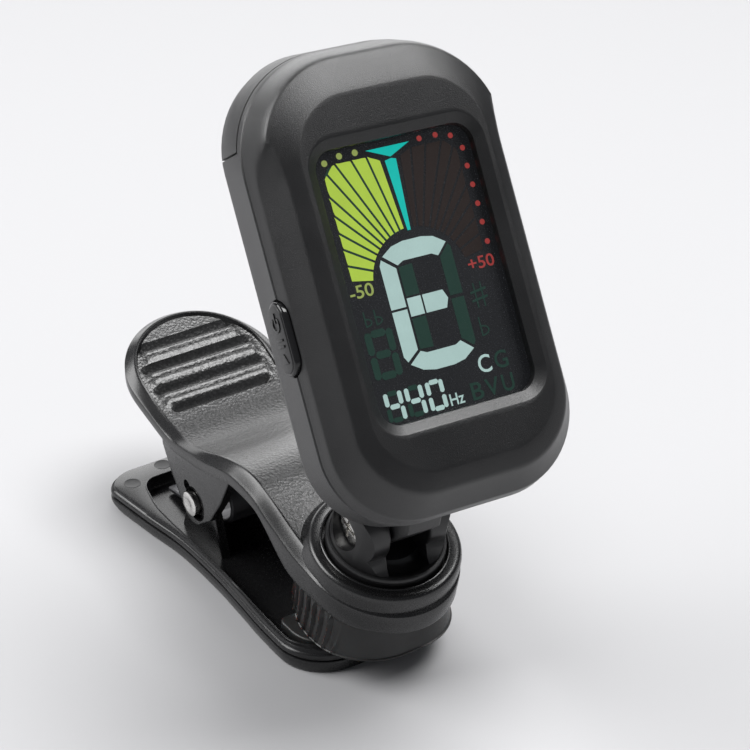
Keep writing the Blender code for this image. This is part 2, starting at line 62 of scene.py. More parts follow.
SWIVEL_AXIS = Vector(JOINTS["swivel"]["axis"]).normalized()
TILT_AXIS = Vector(JOINTS["tilt"]["axis"]).normalized()
HEAD_UP = Vector(JOINTS["battery_door_slide"]["axis"]).normalized()
ACROSS_CLIP = Vector((0, 1, 0))
WORLD = Matrix.Identity(4)
PIN = Matrix.Translation(JOINTS["jaw_hinge"]["pos_m"])
BOSS = placed(ACROSS_CLIP.cross(SWIVEL_AXIS), ACROSS_CLIP, SWIVEL_AXIS, JOINTS["swivel"]["pos_m"])
YOKE = placed(TILT_AXIS.cross(SWIVEL_AXIS), TILT_AXIS, SWIVEL_AXIS, JOINTS["swivel"]["pos_m"])
HEAD = placed(TILT_AXIS.cross(HEAD_UP), TILT_AXIS, HEAD_UP, JOINTS["tilt"]["pos_m"])
ALONG_Y = Matrix.Rotation(-math.pi / 2, 4, "X")
PIN_X, PIN_Z = (value / MM for value in (JOINTS["jaw_hinge"]["pos_m"][0], JOINTS["jaw_hinge"]["pos_m"][2]))
FACE_AHEAD, FACE_ABOVE = 22.9, 23.0      # the tilt axis is this far behind and below the face's middle


# ---- node materials
class Nodes:
    """A material's node tree with short helpers."""

    def __init__(self, name):
        self.material = bpy.data.materials.new(name)
        self.material.use_nodes = True
        self.tree = self.material.node_tree
        self.shader = self.tree.nodes["Principled BSDF"]
        self.coordinates = self.add("ShaderNodeTexCoord").outputs["Object"]

    def feed(self, socket, value):
        """Link another node's output to a socket, or set the socket's own value."""
        if isinstance(value, bpy.types.NodeSocket):
            self.tree.links.new(value, socket)
        else:
            socket.default_value = value

    def add(self, kind, inputs=None, **settings):
        """A node with these settings; its inputs are outputs or values, by name or number."""
        node = self.tree.nodes.new(kind)
        for key, value in settings.items():
            setattr(node, key, value)
        for key, value in (inputs or {}).items():
            self.feed(node.inputs[key], value)
        return node

    def noise(self, scale, detail=3.0, roughness=0.5, stretch=None):
        where = self.coordinates
        if stretch is not None:
            where = self.add("ShaderNodeMapping", {"Vector": where, "Scale": stretch}).outputs["Vector"]
        return self.add("ShaderNodeTexNoise", {"Vector": where, "Scale": scale, "Detail": detail,
                                               "Roughness": roughness}).outputs["Fac"]

    def cells(self, scale):
        node = self.add("ShaderNodeTexVoronoi", {"Vector": self.coordinates, "Scale": scale})
        return node.outputs["Distance"]

    def ramp(self, value, first, second, start=0.3, end=0.7):
        """Colour from a value: first up to start, second from end."""
        node = self.add("ShaderNodeValToRGB", {"Fac": value})
        for element, position, colour in zip(node.color_ramp.elements, (start, end), (first, second)):
            element.position = position
            element.color = (*colour, 1.0)
        return node.outputs["Color"]

    def spread(self, value, low, high):
        """A noise's usual range, 0.3 to 0.7, mapped to low and high."""
        return self.add("ShaderNodeMapRange", {"Value": value, "From Min": 0.3, "From Max": 0.7,
                                               "To Min": low, "To Max": high}).outputs["Result"]

    def math(self, operation, first, second):
        return self.add("ShaderNodeMath", {0: first, 1: second}, operation=operation).outputs["Value"]

    def weighed(self, first, share, second, other):
        """The sum of two values, each times the number after it."""
        return self.math("ADD", self.math("MULTIPLY", first, share), self.math("MULTIPLY", second, other))

    def bump(self, height, distance):
        return self.add("ShaderNodeBump", {"Height": height, "Distance": distance}).outputs["Normal"]

    def surface(self, colour, roughness, **others):
        """Connect the shader; others name more of its sockets, with _ for a space."""
        for key, value in {"Base_Color": colour, "Roughness": roughness, **others}.items():
            self.feed(self.shader.inputs[key.replace("_", " ")], value)
        return self.material


COLD_TINT = 0.03


def grey(value, tint=0.0):
    return (value * (1 - tint), value * (1 - tint), value * (1 + tint))


def scaled(colour, share):
    return tuple(channel * share for channel in colour)


def moulded(name, level, roughness, grain, depth, specular=0.5):
    """Moulded black plastic: fine spark-eroded grain, faint flow marks and uneven gloss."""
    nodes = Nodes(name)
    fine, broad = nodes.noise(grain, 4.0, 0.65), nodes.noise(160, 3.0)
    colour = nodes.ramp(nodes.math("MULTIPLY", fine, broad),
                        grey(level * 0.75, COLD_TINT), grey(level * 1.35, COLD_TINT), 0.08, 0.5)
    rough = nodes.spread(nodes.weighed(fine, 0.6, broad, 0.4), roughness - 0.06, roughness + 0.06)
    return nodes.surface(colour, rough, Normal=nodes.bump(fine, depth), Specular_IOR_Level=specular)


def grip_plastic():
    """The thumb pad's leather-like speckled texture."""
    nodes = Nodes("thumb_grip_texture")
    pebbles, fine = nodes.cells(2600), nodes.noise(8000, 3.0, 0.6)
    colour = nodes.ramp(pebbles, grey(0.020), grey(0.008), 0.1, 0.7)
    relief = nodes.bump(nodes.weighed(pebbles, 1.3, fine, 0.7), 0.000032)
    return nodes.surface(colour, nodes.spread(fine, 0.25, 0.38), Normal=relief, Specular_IOR_Level=0.9)


def rubber(name, level, roughness):
    nodes = Nodes(name)
    fine, broad = nodes.noise(3500, 4.0, 0.6), nodes.noise(260, 2.0)
    colour = nodes.ramp(broad, grey(level * 0.8), grey(level * 1.25))
    return nodes.surface(colour, nodes.spread(fine, roughness - 0.08, roughness + 0.1),
                         Normal=nodes.bump(fine, 0.000015), Specular_IOR_Level=0.45,
                         Subsurface_Weight=0.15, Subsurface_Scale=0.0006)


def metal(name, colour, roughness, stretch):
    """Metal with drawn or turned fine lines, which run along the axis that stretch makes small."""
    nodes = Nodes(name)
    lines, stains = nodes.noise(900, 4.0, 0.6, stretch), nodes.noise(500, 2.0)
    shade = nodes.ramp(stains, scaled(colour, 0.86), colour)
    return nodes.surface(shade, nodes.spread(lines, roughness * 0.7, roughness * 1.35),
                         Normal=nodes.bump(lines, 0.000004), Metallic=1.0)


def glowing(name, colour, strength):
    """A lit segment of the display: even colour with the faint mottling of the diffuser behind it."""
    nodes = Nodes(name)
    mottle, grain = nodes.noise(420, 3.0), nodes.noise(5200, 2.0)
    lit = nodes.ramp(mottle, scaled(colour, 0.90), colour, 0.25, 0.75)
    dark = nodes.ramp(grain, scaled(colour, 0.10), scaled(colour, 0.14))
    return nodes.surface(dark, nodes.spread(grain, 0.28, 0.36), Normal=nodes.bump(grain, 0.000002),
                         Emission_Color=lit, Emission_Strength=strength)


def cell_glass():
    """The display cell: dark grey with a barely visible mottling and a soft backlight leak."""
    nodes = Nodes("display_cell")
    broad, fine = nodes.noise(90, 2.0), nodes.noise(5000, 2.0)
    colour = nodes.ramp(broad, (0.0080, 0.0088, 0.0098), (0.0100, 0.0108, 0.0120))
    glow = nodes.ramp(broad, (0.0150, 0.0160, 0.0180), (0.0200, 0.0210, 0.0235))
    return nodes.surface(colour, nodes.spread(fine, 0.22, 0.30), Normal=nodes.bump(fine, 0.000002),
                         Emission_Color=glow, Emission_Strength=0.6)


def pane_clear():
    """The clear window pane, smudged very slightly."""
    nodes = Nodes("window_pane")
    smudge = nodes.noise(140, 4.0, 0.6)
    colour = nodes.ramp(smudge, (0.010, 0.010, 0.011), (0.016, 0.016, 0.018))
    return nodes.surface(colour, nodes.spread(smudge, 0.04, 0.09), Normal=nodes.bump(smudge, 0.000003),
                         Alpha=0.14, IOR=1.9)


def solder_mask():
    """The circuit board's green lacquer over raised tracks."""
    nodes = Nodes("circuit_board")
    tracks = nodes.add("ShaderNodeTexBrick", {
        "Vector": nodes.coordinates, "Scale": 420, "Color1": (0.012, 0.12, 0.05, 1),
        "Color2": (0.016, 0.16, 0.06, 1), "Mortar": (0.03, 0.22, 0.09, 1), "Mortar Size": 0.03})
    return nodes.surface(tracks.outputs["Color"], nodes.spread(nodes.noise(2500, 2.0), 0.3, 0.42),
                         Normal=nodes.bump(tracks.outputs["Fac"], 0.00002))


def milky():
    """The light guide's dotted milky plastic."""
    nodes = Nodes("light_guide")
    dots = nodes.cells(1800)
    colour = nodes.ramp(dots, (0.86, 0.88, 0.86), (0.74, 0.76, 0.75), 0.1, 0.5)
    return nodes.surface(colour, nodes.spread(dots, 0.35, 0.5), Normal=nodes.bump(dots, 0.00001),
                         Subsurface_Weight=0.3, Subsurface_Scale=0.001)


def zebra():
    """Connector strip: black and translucent rubber layers."""
    nodes = Nodes("connector_strip")
    layers = nodes.add("ShaderNodeTexWave", {"Vector": nodes.coordinates, "Scale": 900},
                       bands_direction="Y").outputs["Fac"]
    colour = nodes.ramp(layers, (0.02, 0.02, 0.022), (0.22, 0.20, 0.20), 0.45, 0.55)
    return nodes.surface(colour, nodes.spread(nodes.noise(3000, 2.0), 0.5, 0.7),
                         Normal=nodes.bump(layers, 0.00001))


def floor_paper():
    nodes = Nodes("pale_floor")
    broad = nodes.noise(3.0, 3.0)
    colour = nodes.ramp(broad, (0.470, 0.469, 0.477), (0.480, 0.479, 0.487))
    return nodes.surface(colour, nodes.spread(broad, 0.75, 0.85), Specular_IOR_Level=0.2)


CASE = moulded("case_front_black", 0.008, 0.35, 9500, 0.000034, specular=0.62)
CASE_REAR = moulded("case_rear_black", 0.011, 0.42, 9500, 0.000034, specular=0.68)
CLIP = moulded("clip_black", 0.007, 0.28, 6500, 0.000003, specular=0.62)
GRIP = grip_plastic()
YOKE_PLASTIC = moulded("yoke_black", 0.010, 0.32, 6500, 0.000006)
PAD = rubber("pad_rubber", 0.018, 0.40)
BUTTON_GLOSS = moulded("button_gloss", 0.010, 0.16, 5000, 0.000002)
BUTTON_FACE = moulded("button_face", 0.012, 0.42, 7000, 0.000012)
BUTTON_MARK = moulded("button_mark", 0.008, 0.35, 6000, 0.000006)
STEEL = metal("plated_steel", (0.70, 0.69, 0.67), 0.24, (1, 1, 0.06))
SPRING = metal("spring_steel", (0.085, 0.085, 0.09), 0.58, (1, 0.05, 1))
BRASS = metal("contact_brass", (0.72, 0.52, 0.22), 0.28, (0.1, 1, 1))
CHIP = moulded("chip_black", 0.014, 0.45, 9000, 0.00001)
BOARD = solder_mask()
GUIDE = milky()
CONNECTOR = zebra()
CELL = cell_glass()
PANE = pane_clear()
LIME = glowing("segments_lime", (0.45, 0.64, 0.070), 1.15)
GREEN = glowing("marks_green", (0.42, 0.52, 0.14), 0.85)
RED = glowing("marks_red", (0.52, 0.065, 0.060), 0.75)
CYAN = glowing("pointer_cyan", (0.004, 0.62, 0.54), 1.0)
WHITE = glowing("segments_white", (0.50, 0.70, 0.67), 1.0)
UNLIT_RED = glowing("segments_unlit_red", (0.028, 0.018, 0.015), 0.8)
UNLIT_GREEN = glowing("segments_unlit_green", (0.014, 0.046, 0.034), 1.0)


# ---- mesh helpers
def linked(name, data, place=WORLD):
    """An object in the scene, in this frame."""
    obj = bpy.data.objects.new(name, data)
    SCENE.collection.objects.link(obj)
    obj.matrix_world = place
    return obj


def smooth(mesh, crease=32):
    mesh.shade_smooth()
    mesh.set_sharp_from_angle(angle=math.radians(crease))


def finished(name, work, place, crease=32):
    """An object from a bmesh, smooth below the crease angle."""
    mesh = bpy.data.meshes.new(name)
    work.to_mesh(mesh)
    work.free()
    smooth(mesh, crease)
    return linked(name, mesh, place)


def solid(name, points, faces, place, crease=32):
    """An object from points in millimetres, welded and turned outwards."""
    work = bmesh.new()
    verts = [work.verts.new(Vector(point) * MM) for point in points]
    for face in faces:
        work.faces.new([verts[index] for index in face])
    bmesh.ops.remove_doubles(work, verts=work.verts, dist=1e-7)
    bmesh.ops.dissolve_degenerate(work, edges=work.edges, dist=1e-8)
    bmesh.ops.recalc_face_normals(work, faces=work.faces)
    return finished(name, work, place, crease)


def loft(name, rings, place, caps=True, closed=False, crease=32):
    """Join rings of equal length; caps close both ends, closed joins the last ring to the first."""
    count = len(rings[0])
    points = [point for ring in rings for point in ring]
    faces = []
    for level in range(len(rings) if closed else len(rings) - 1):
        here, there = level * count, ((level + 1) % len(rings)) * count
        for i in range(count):
            j = (i + 1) % count
            faces.append((here + i, here + j, there + j, there + i))
    if caps and not closed:
        faces += [range(count), range(len(points) - count, len(points))]
    return solid(name, points, faces, place, crease)


def inset(outline, distance):
    """The outline moved inwards by a distance, corner by corner."""
    count = len(outline)
    area = sum(a * d - c * b for (a, b), (c, d) in zip(outline, outline[1:] + outline[:1]))
    turn = 1 if area > 0 else -1
    moved = []
    for i, here in enumerate(outline):
        here = Vector(here)
        before = (here - Vector(outline[i - 1])).normalized()
        after = (Vector(outline[(i + 1) % count]) - here).normalized()
        first = Vector((-before.y, before.x)) * turn
        second = Vector((-after.y, after.x)) * turn
        reach = 1 + first.dot(second)
        moved.append(tuple(here + (first + second) * (distance / max(reach, 0.4))))
    return moved


def prism(name, outline, lo, hi, place, axis="Y", edge=0.0, steps=3):
    """Extrude an outline along Y or Z, with its edges rounded."""
    levels = [(0.0, lo), (0.0, hi)]
    if edge:
        turns = [math.pi / 2 * k / steps for k in range(steps + 1)]
        levels = [(edge * (1 - math.sin(a)), lo + edge * (1 - math.cos(a))) for a in turns]
        levels += [(edge * (1 - math.sin(a)), hi - edge * (1 - math.cos(a))) for a in reversed(turns)]
    rings = [[(a, c, b) if axis == "Y" else (a, b, c) for a, b in (inset(outline, d) if d else outline)]
             for d, c in levels]
    return loft(name, rings, place)


def turned(name, profile, place, count=72, reach=None, closed=False):
    """Revolve (radius, height) points about Z.  reach can change a radius by angle and height."""
    rings = []
    for radius, height in profile:
        ring = []
        for i in range(count):
            angle = 2 * math.pi * i / count
            r = radius if reach is None else reach(radius, height, angle)
            ring.append((r * math.cos(angle), r * math.sin(angle), height))
        rings.append(ring)
    return loft(name, rings, place, closed=closed)


def rectangle(a, b):
    return [(a[0], b[0]), (a[1], b[0]), (a[1], b[1]), (a[0], b[1])]


def circle(radius, centre=(0, 0), count=32, start=0.0, end=360.0):
    closed = abs(end - start) >= 360
    angles = [math.radians(start + (end - start) * i / count) for i in range(count if closed else count + 1)]
    return [(centre[0] + radius * math.cos(a), centre[1] + radius * math.sin(a)) for a in angles]


def evaluated_mesh(obj):
    """The object's mesh with its modifiers or its text worked out."""
    bpy.context.view_layer.update()
    return bpy.data.meshes.new_from_object(obj.evaluated_get(bpy.context.evaluated_depsgraph_get()))


def cut(target, cutter, operation="DIFFERENCE"):
    """Apply a boolean at once and drop its cutter."""
    modifier = target.modifiers.new("shape", "BOOLEAN")
    modifier.operation = operation
    modifier.solver = "EXACT"
    modifier.object = cutter
    mesh = evaluated_mesh(target)
    target.modifiers.clear()
    target.data = mesh
    smooth(mesh)
    bpy.data.objects.remove(cutter)
    return target


def merged(name, *parts):
    """One object, in the first part's frame, from several that overlap."""
    place = parts[0].matrix_world.copy()
    work = bmesh.new()
    for part in parts:
        part.data.transform(place.inverted() @ part.matrix_world)
        work.from_mesh(part.data)
        bpy.data.objects.remove(part)
    return finished(name, work, place)


def piece(obj, body, material, slot, *nodes):
    """Finish a visible piece: its material, the body it rides on and the CAD nodes it stands for."""
    obj.data.materials.clear()
    obj.data.materials.append(material)
    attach(obj, body)
    if nodes:
        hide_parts(*nodes)
    return obj


def curve_height(stations, x):
    """Height at x on a smooth curve through (x, height) stations."""
    if x <= stations[0][0]:
        return stations[0][1]
    for k in range(len(stations) - 1):
        (x0, z0), (x1, z1) = stations[k], stations[k + 1]
        if x > x1:
            continue
        before, after = stations[max(k - 1, 0)], stations[min(k + 2, len(stations) - 1)]
        m0 = (z1 - before[1]) / (x1 - before[0]) * (x1 - x0)
        m1 = (after[1] - z0) / (after[0] - x0) * (x1 - x0)
        t = (x - x0) / (x1 - x0)
        return ((2 * t**3 - 3 * t**2 + 1) * z0 + (t**3 - 2 * t**2 + t) * m0
                + (-2 * t**3 + 3 * t**2) * z1 + (t**3 - t**2) * m1)
    return stations[-1][1]


def fade(x, start, end):
    """0 before start, 1 after end, smooth between; start may be above end."""
    t = min(max((x - start) / (end - start), 0.0), 1.0)
    return t * t * (3 - 2 * t)


def soft_max(a, b, blend):
    apart = max(blend - abs(a - b), 0.0) / blend
    return max(a, b) + apart * apart * blend / 4


def plan(back, front, half, back_radius, front_radius, offset=0.0, straight=16, arcs=(9, 9), shape=None):
    """Plan outline of a clip part, mirrored across Y = 0, starting at the front's middle."""
    width = half - offset
    side = []
    radius = max(front_radius - offset, 0.2)
    for k in range(arcs[1] + 1):
        angle = math.pi / 2 * k / arcs[1]
        side.append((front - offset - radius + radius * math.cos(angle),
                     width - radius + radius * math.sin(angle)))
    x_from, x_to = side[-1][0], back + max(back_radius, offset + 0.2)
    side += [(x_from + (x_to - x_from) * k / straight, width) for k in range(1, straight)]
    radius = max(back_radius - offset, 0.2)
    for k in range(arcs[0] + 1):
        angle = math.pi / 2 * (1 + k / arcs[0])
        side.append((back + offset + radius + radius * math.cos(angle),
                     width - radius + radius * math.sin(angle)))
    side = [(side[0][0], 0.0), *side, (side[-1][0], 0.0)]
    if shape is not None:
        side = [(x, y * shape(x)) for x, y in side]
    return side + [(x, -y) for x, y in reversed(side[1:-1])]


# ---- head: front case
PARTING, HEAD_DEPTH, WALL = 5.2, 12.5, 1.25
SIDE_WIDTH = 3.75                        # the shoulder's width at the head's sides
SCOOP_FADE, SCOOP_TIP = 12.0, 16.5       # the scooped facet runs out between these heights
CORNER_STEPS, SIDE_STEPS = 16, (10, 36)  # points on a section's corners, and on its ends and sides


def head_outline(half, bottom, top, low, high, centre=0.0, crown=0.0):
    """A section of the head, anticlockwise from its right top corner, always with the same points."""
    corners = ((half - high, top - high, high, 0), (-half + high, top - high, high, 90),
               (-half + low, bottom + low, low, 180), (half - low, bottom + low, low, 270))
    arcs = [circle(radius, (u, v), CORNER_STEPS, start, start + 90) for u, v, radius, start in corners]
    outline = []
    for index, arc in enumerate(arcs):
        (u, v), (u_next, v_next) = arc[-1], arcs[(index + 1) % 4][0]
        count = SIDE_STEPS[index % 2]
        outline += arc
        outline += [(u + (u_next - u) * k / count, v + (v_next - v) * k / count) for k in range(1, count)]
    lift = [crown * (1 - (u / half) ** 2) * min(max((v - top + high) / high, 0), 1) for u, v in outline]
    return [(u + centre, v + rise) for (u, v), rise in zip(outline, lift)]


def head_point(h, u, v):
    return (FACE_AHEAD - h, u, FACE_ABOVE + v)


def head_ring(h, outline):
    return [head_point(h, u, v) for u, v in outline]


def mix(first, second, share):
    return [(a + (c - a) * share, b + (d - b) * share) for (a, b), (c, d) in zip(first, second)]


FACE = head_outline(10.65, -18.6, 19.9, 6.6, 6.0, 0.25, 0.3)
OUTER = head_outline(14.4, -23.4, 25.4, 9.0, 11.2)
WINDOW_EDGE = head_outline(10.2, -14.3, 16.05, 3.3, 3.3, 0.25)
WINDOW_WALL = head_outline(9.1, -13.2, 14.95, 2.2, 2.2, 0.25)


def shoulder_depth(a, u, v):
    """Depth of the shoulder at share a of the way from the face's edge to the outer wall."""
    topness = fade(v, 15, 24) * (1 - 0.5 * (u / 14.4) ** 2)
    slope = 1.35 * (a / 0.8) ** 1.15
    wall = 1.35 + (a - 0.8) * 19.25
    depth = soft_max(slope, wall, 0.8 + 1.2 * topness)
    over = max(v - SCOOP_FADE, 0.0)
    fall = SCOOP_TIP - SCOOP_FADE
    raised = 0.9 * (1 - math.sqrt(max(1 - (over / fall) ** 2, 0.0))) + 0.5 * max(over - fall, 0.0)
    along = (a - 0.463 - raised / SIDE_WIDTH) / 0.488
    facet = 0.9 + 2.8 * along + 0.10 * max(4 * along * (1 - along), 0.0)
    return soft_max(depth, facet, 0.16)


SHARES = (0.02, 0.06, 0.12, 0.2, 0.28, 0.34, 0.38, 0.41, 0.43, 0.45, 0.48, 0.52, 0.57, 0.62, 0.67, 0.71,
          0.745, 0.77, 0.79, 0.81, 0.83, 0.85, 0.87, 0.885, 0.9, 0.915, 0.93, 0.95, 0.975)
INNER_EDGE = head_outline(14.4 - WALL, -22.1, 23.5, 8.0, 8.5)
front_rings = [head_ring(0.0, mix(WINDOW_EDGE, FACE, share)) for share in (0.0, 0.12, 0.9, 1.0)]
for share in SHARES:
    front_rings.append([head_point(shoulder_depth(share, u, v), u, v) for u, v in mix(FACE, OUTER, share)])
front_rings += [head_ring(h, outline) for h, outline in (
    (PARTING - 0.12, OUTER), (PARTING, inset(OUTER, 0.12)), (PARTING, INNER_EDGE),
    (2.6, head_outline(12.1, -20.8, 22.6, 7.2, 8.0)), (1.6, head_outline(11.2, -19.8, 21.2, 6.5, 7.0)),
    (1.6, inset(WINDOW_WALL, -0.05)), (1.5, WINDOW_WALL), (0.72, WINDOW_WALL),
    (0.62, inset(WINDOW_WALL, -0.03)), (0.55, inset(WINDOW_WALL, -0.12)),
    (0.07, inset(WINDOW_EDGE, 0.13)), (0.02, inset(WINDOW_EDGE, 0.05)))]
front_shell = loft("front_shell", front_rings, HEAD, closed=True, crease=24)
piece(front_shell, "head", CASE, "case_front", "front_case")

# ---- head: rear case and battery door
REAR_START = PARTING + 0.25
DOOR_EDGE, DOOR_HALF_WIDTH, DOOR_FOOT, DOOR_FRONT, PANEL_FRONT = 17.3, 10.9, 1.5, 6.5, 10.9
DOOR_GAP = 0.22
BUTTON_MIDDLE = (FACE_AHEAD - 5.8, FACE_ABOVE - 1.95)


def rear_section(h):
    """Outer section of the rear half at depth h: nearly straight, then rounded to the back."""
    narrow = 0.5 * (h - REAR_START) / (10.4 - REAR_START) if h < 10.4 else 0.5
    t = max(h - 10.4, 0.0) / (HEAD_DEPTH - 10.4)
    tuck = 1.9 * (1 - math.sqrt(max(1 - t * t, 0.0)))
    rise = 1.1 * fade(h, REAR_START, 9.0)
    return head_outline(14.4 - narrow - tuck, -23.4 + 0.9 * tuck, 25.4 + rise - narrow - tuck,
                        9.0 - 0.9 * tuck, 11.2 - 0.9 * rise - 0.9 * tuck)


def rear_shell(name):
    inner = [head_ring(HEAD_DEPTH - 1.2, head_outline(11.9, -21.4, 22.2, 7.0, 7.4)),
             head_ring(10.1, head_outline(12.6, -22.0, 23.0, 7.6, 8.0)), head_ring(REAR_START, INNER_EDGE)]
    outer = [head_ring(REAR_START, inset(rear_section(REAR_START), 0.12))]
    outer += [head_ring(h, rear_section(h)) for h in (
        REAR_START + 0.12, 7.5, 9.2, 10.4, 10.9, 11.3, 11.7, 12.0, 12.2, 12.35, 12.45)]
    outer.append(head_ring(HEAD_DEPTH, inset(rear_section(12.45), 0.7)))
    return loft(name, inner + outer, HEAD)


def head_box(name, h, u, v, edge=0.0):
    outline = rectangle((FACE_AHEAD - h[1], FACE_AHEAD - h[0]), u)
    return prism(name, outline, FACE_ABOVE + v[0], FACE_ABOVE + v[1], HEAD, "Z", edge)


def capsule_outline(half, radius):
    """The button's outline in the plane of depth and height."""
    x, z = BUTTON_MIDDLE
    reach = half - radius
    return [*circle(radius, (x, z + reach), 14, 0, 180), *circle(radius, (x, z - reach), 14, 180, 360)]


def screw_hole(u, v):
    """A cutter for a case screw's hole, whose axis runs straight back from (u, v)."""
    place = HEAD @ Matrix.Translation(Vector((FACE_AHEAD, u, FACE_ABOVE + v)) * MM)
    return turned("cut", [(1.45, 11.9), (1.45, 14.0)], place @ Matrix.Rotation(-math.pi / 2, 4, "Y"), 32)


rear = rear_shell("rear_shell_body")
cut(rear, head_box("cut", (DOOR_FRONT - DOOR_GAP, 20), (-20, 20), (DOOR_EDGE - DOOR_GAP, 30)))
reach = DOOR_HALF_WIDTH + DOOR_GAP
cut(rear, head_box("cut", (PANEL_FRONT - DOOR_GAP, 20), (-reach, reach), (DOOR_FOOT - DOOR_GAP, 30)))
for shell in (rear, front_shell):
    cut(shell, prism("cut", capsule_outline(4.05, 2.0), -20, -11, HEAD))
smooth(front_shell.data, 24)
for side in (-1, 1):
    cut(rear, screw_hole(side * 8.5, -18.4))
arm = [(-12.0, -13.5), (-12.9, -13.2), (-21.4, -20.2), *circle(3.1, (-FACE_AHEAD, -FACE_ABOVE), 28, 60, 262),
       (-16.2, -25.2), (-12.0, -21.3)]
arm = prism("arm", [(x + FACE_AHEAD, z + FACE_ABOVE) for x, z in arm], -2.15, 2.15, HEAD, "Y", 0.3)
foot = head_box("foot", (11.6, 12.6), (-3.4, 3.4), (-21.4, -12.6), 0.4)
piece(merged("rear_shell", rear, arm, foot), "head", CASE_REAR, "case_rear", "rear_case")

door = rear_shell("door_shell")
keep = head_box("keep", (DOOR_FRONT, 20), (-20, 20), (DOOR_EDGE, 30))
cut(keep, head_box("keep_panel", (PANEL_FRONT, 20), (-DOOR_HALF_WIDTH, DOOR_HALF_WIDTH), (DOOR_FOOT, 30)),
    "UNION")
cut(door, keep, "INTERSECT")
ridges = [head_box("ridge", (12.2, 12.72), (-4.5 + 0.35 * k, 4.5 - 0.35 * k), (6.2 + 1.5 * k, 6.8 + 1.5 * k),
                   0.2) for k in range(5)]
piece(merged("door_shell", door, *ridges), "door", CASE_REAR, "case_rear", "battery_door")

# ---- head: window, display and its graphics
pane = prism("window_pane", head_outline(10.4, -14.6, 16.2, 3.0, 3.0, 0.1),
             0, 0.55, HEAD @ Matrix.Translation(Vector((FACE_AHEAD - 2.25, 0, FACE_ABOVE)) * MM)
             @ Matrix(((0, 0, 1, 0), (1, 0, 0, 0), (0, 1, 0, 0), (0, 0, 0, 1))), "Z", 0.08)
piece(pane, "head", PANE, "window", "display_window")

cell_parts = [head_box("cell_rear", (3.25, 3.95), (-10.2, 10.2), (-15.2, 16.0), 0.06),
              head_box("cell_front", (2.5, 3.2), (-10.2, 10.2), (-14.2, 16.0), 0.06),
              head_box("cell_film", (2.45, 2.52), (-9.9, 9.9), (-13.9, 15.7))]
piece(merged("display_cell", *cell_parts), "head", CELL, "display", "lcd_panel")

ART_DEPTH = 2.40
ART_SHIFT = 1.15                         # graphics are laid out as they are seen, this far to the left
NEEDLE = (-0.7, 0.3)                     # centre that the scale's segments radiate from
DIVIDER = 0.12                           # half the dark gap between two segments
STROKE = 0.16                            # thickness of the flat and sharp signs' lines


def graphic(name, polygons, material, lift=0.0):
    """Flat display graphics from closed outlines in (u, v)."""
    points, faces = [], []
    for polygon in polygons:
        faces.append(range(len(points), len(points) + len(polygon)))
        points += [head_point(ART_DEPTH - lift, u + ART_SHIFT, v) for u, v in polygon]
    obj = solid(name, points, faces, HEAD)
    for face in obj.data.polygons:
        if face.normal.x < 0:
            face.flip()
    return piece(obj, "head", material, "display")


def legend(text, u, v):
    """Outlines of a text, stretched to fill u and v, as triangles and quads."""
    curve = bpy.data.curves.new("legend", "FONT")
    curve.body = text
    curve.resolution_u = 4
    curve.offset = 0.012
    holder = linked("legend", curve)
    mesh = evaluated_mesh(holder)
    fitted = []
    for axis, (low, high) in enumerate((u, v)):
        values = [vertex.co[axis] for vertex in mesh.vertices]
        least, most = min(values), max(values)
        fitted.append([low + (value - least) / (most - least) * (high - low) for value in values])
    outlines = [[(fitted[0][index], fitted[1][index]) for index in face.vertices] for face in mesh.polygons]
    bpy.data.objects.remove(holder)
    return outlines


def bar(u, v):
    """A straight display segment with clipped ends."""
    clip = min(u[1] - u[0], v[1] - v[0]) * 0.3
    return [(u[0] + clip, v[0]), (u[1] - clip, v[0]), (u[1], v[0] + clip), (u[1], v[1] - clip),
            (u[1] - clip, v[1]), (u[0] + clip, v[1]), (u[0], v[1] - clip), (u[0], v[0] + clip)]


def ray_end(angle):
    """Where a ray from the needle's centre leaves the scale, on its left side."""
    sine, cosine = math.sin(angle), math.cos(angle)
    reach = min(7.7 / max(sine, 1e-6), 13.3 / max(cosine, 1e-6))
    x, y = NEEDLE[0] - reach * sine, NEEDLE[1] + reach * cosine
    corner = max((NEEDLE[0] - 6.7 - x) + (y - 12.6) - 0.75, 0.0)
    slant = max(x + 3.2, 0.0) * 0.45
    return (x + corner * 0.5, y - corner * 0.5 - slant)


def scale_segments(mirror=False):
    """The scale's radial segments; the dividers between them stay dark."""
    edges = [4.6, 11, 18, 25, 31, 37, 43, 50, 58, 68, 79.5]
    outlines = []
    for low, high in zip(edges, edges[1:]):
        inner, outer = [], []
        for share in (0, 0.25, 0.5, 0.75, 1):
            angle = math.radians(low + (high - low) * share)
            sine, cosine = math.sin(angle), math.cos(angle)
            push = {0: DIVIDER, 1: -DIVIDER}.get(share, 0.0)
            end = ray_end(angle)
            inner.append((NEEDLE[0] - 5.5 * sine + -cosine * push, NEEDLE[1] + 5.5 * cosine + -sine * push))
            outer.append((end[0] + -cosine * push, end[1] + -sine * push))
        outlines.append(inner + outer[::-1])
    if mirror:
        outlines = [[(2 * NEEDLE[0] - u, v) for u, v in outline] for outline in outlines]
    return outlines


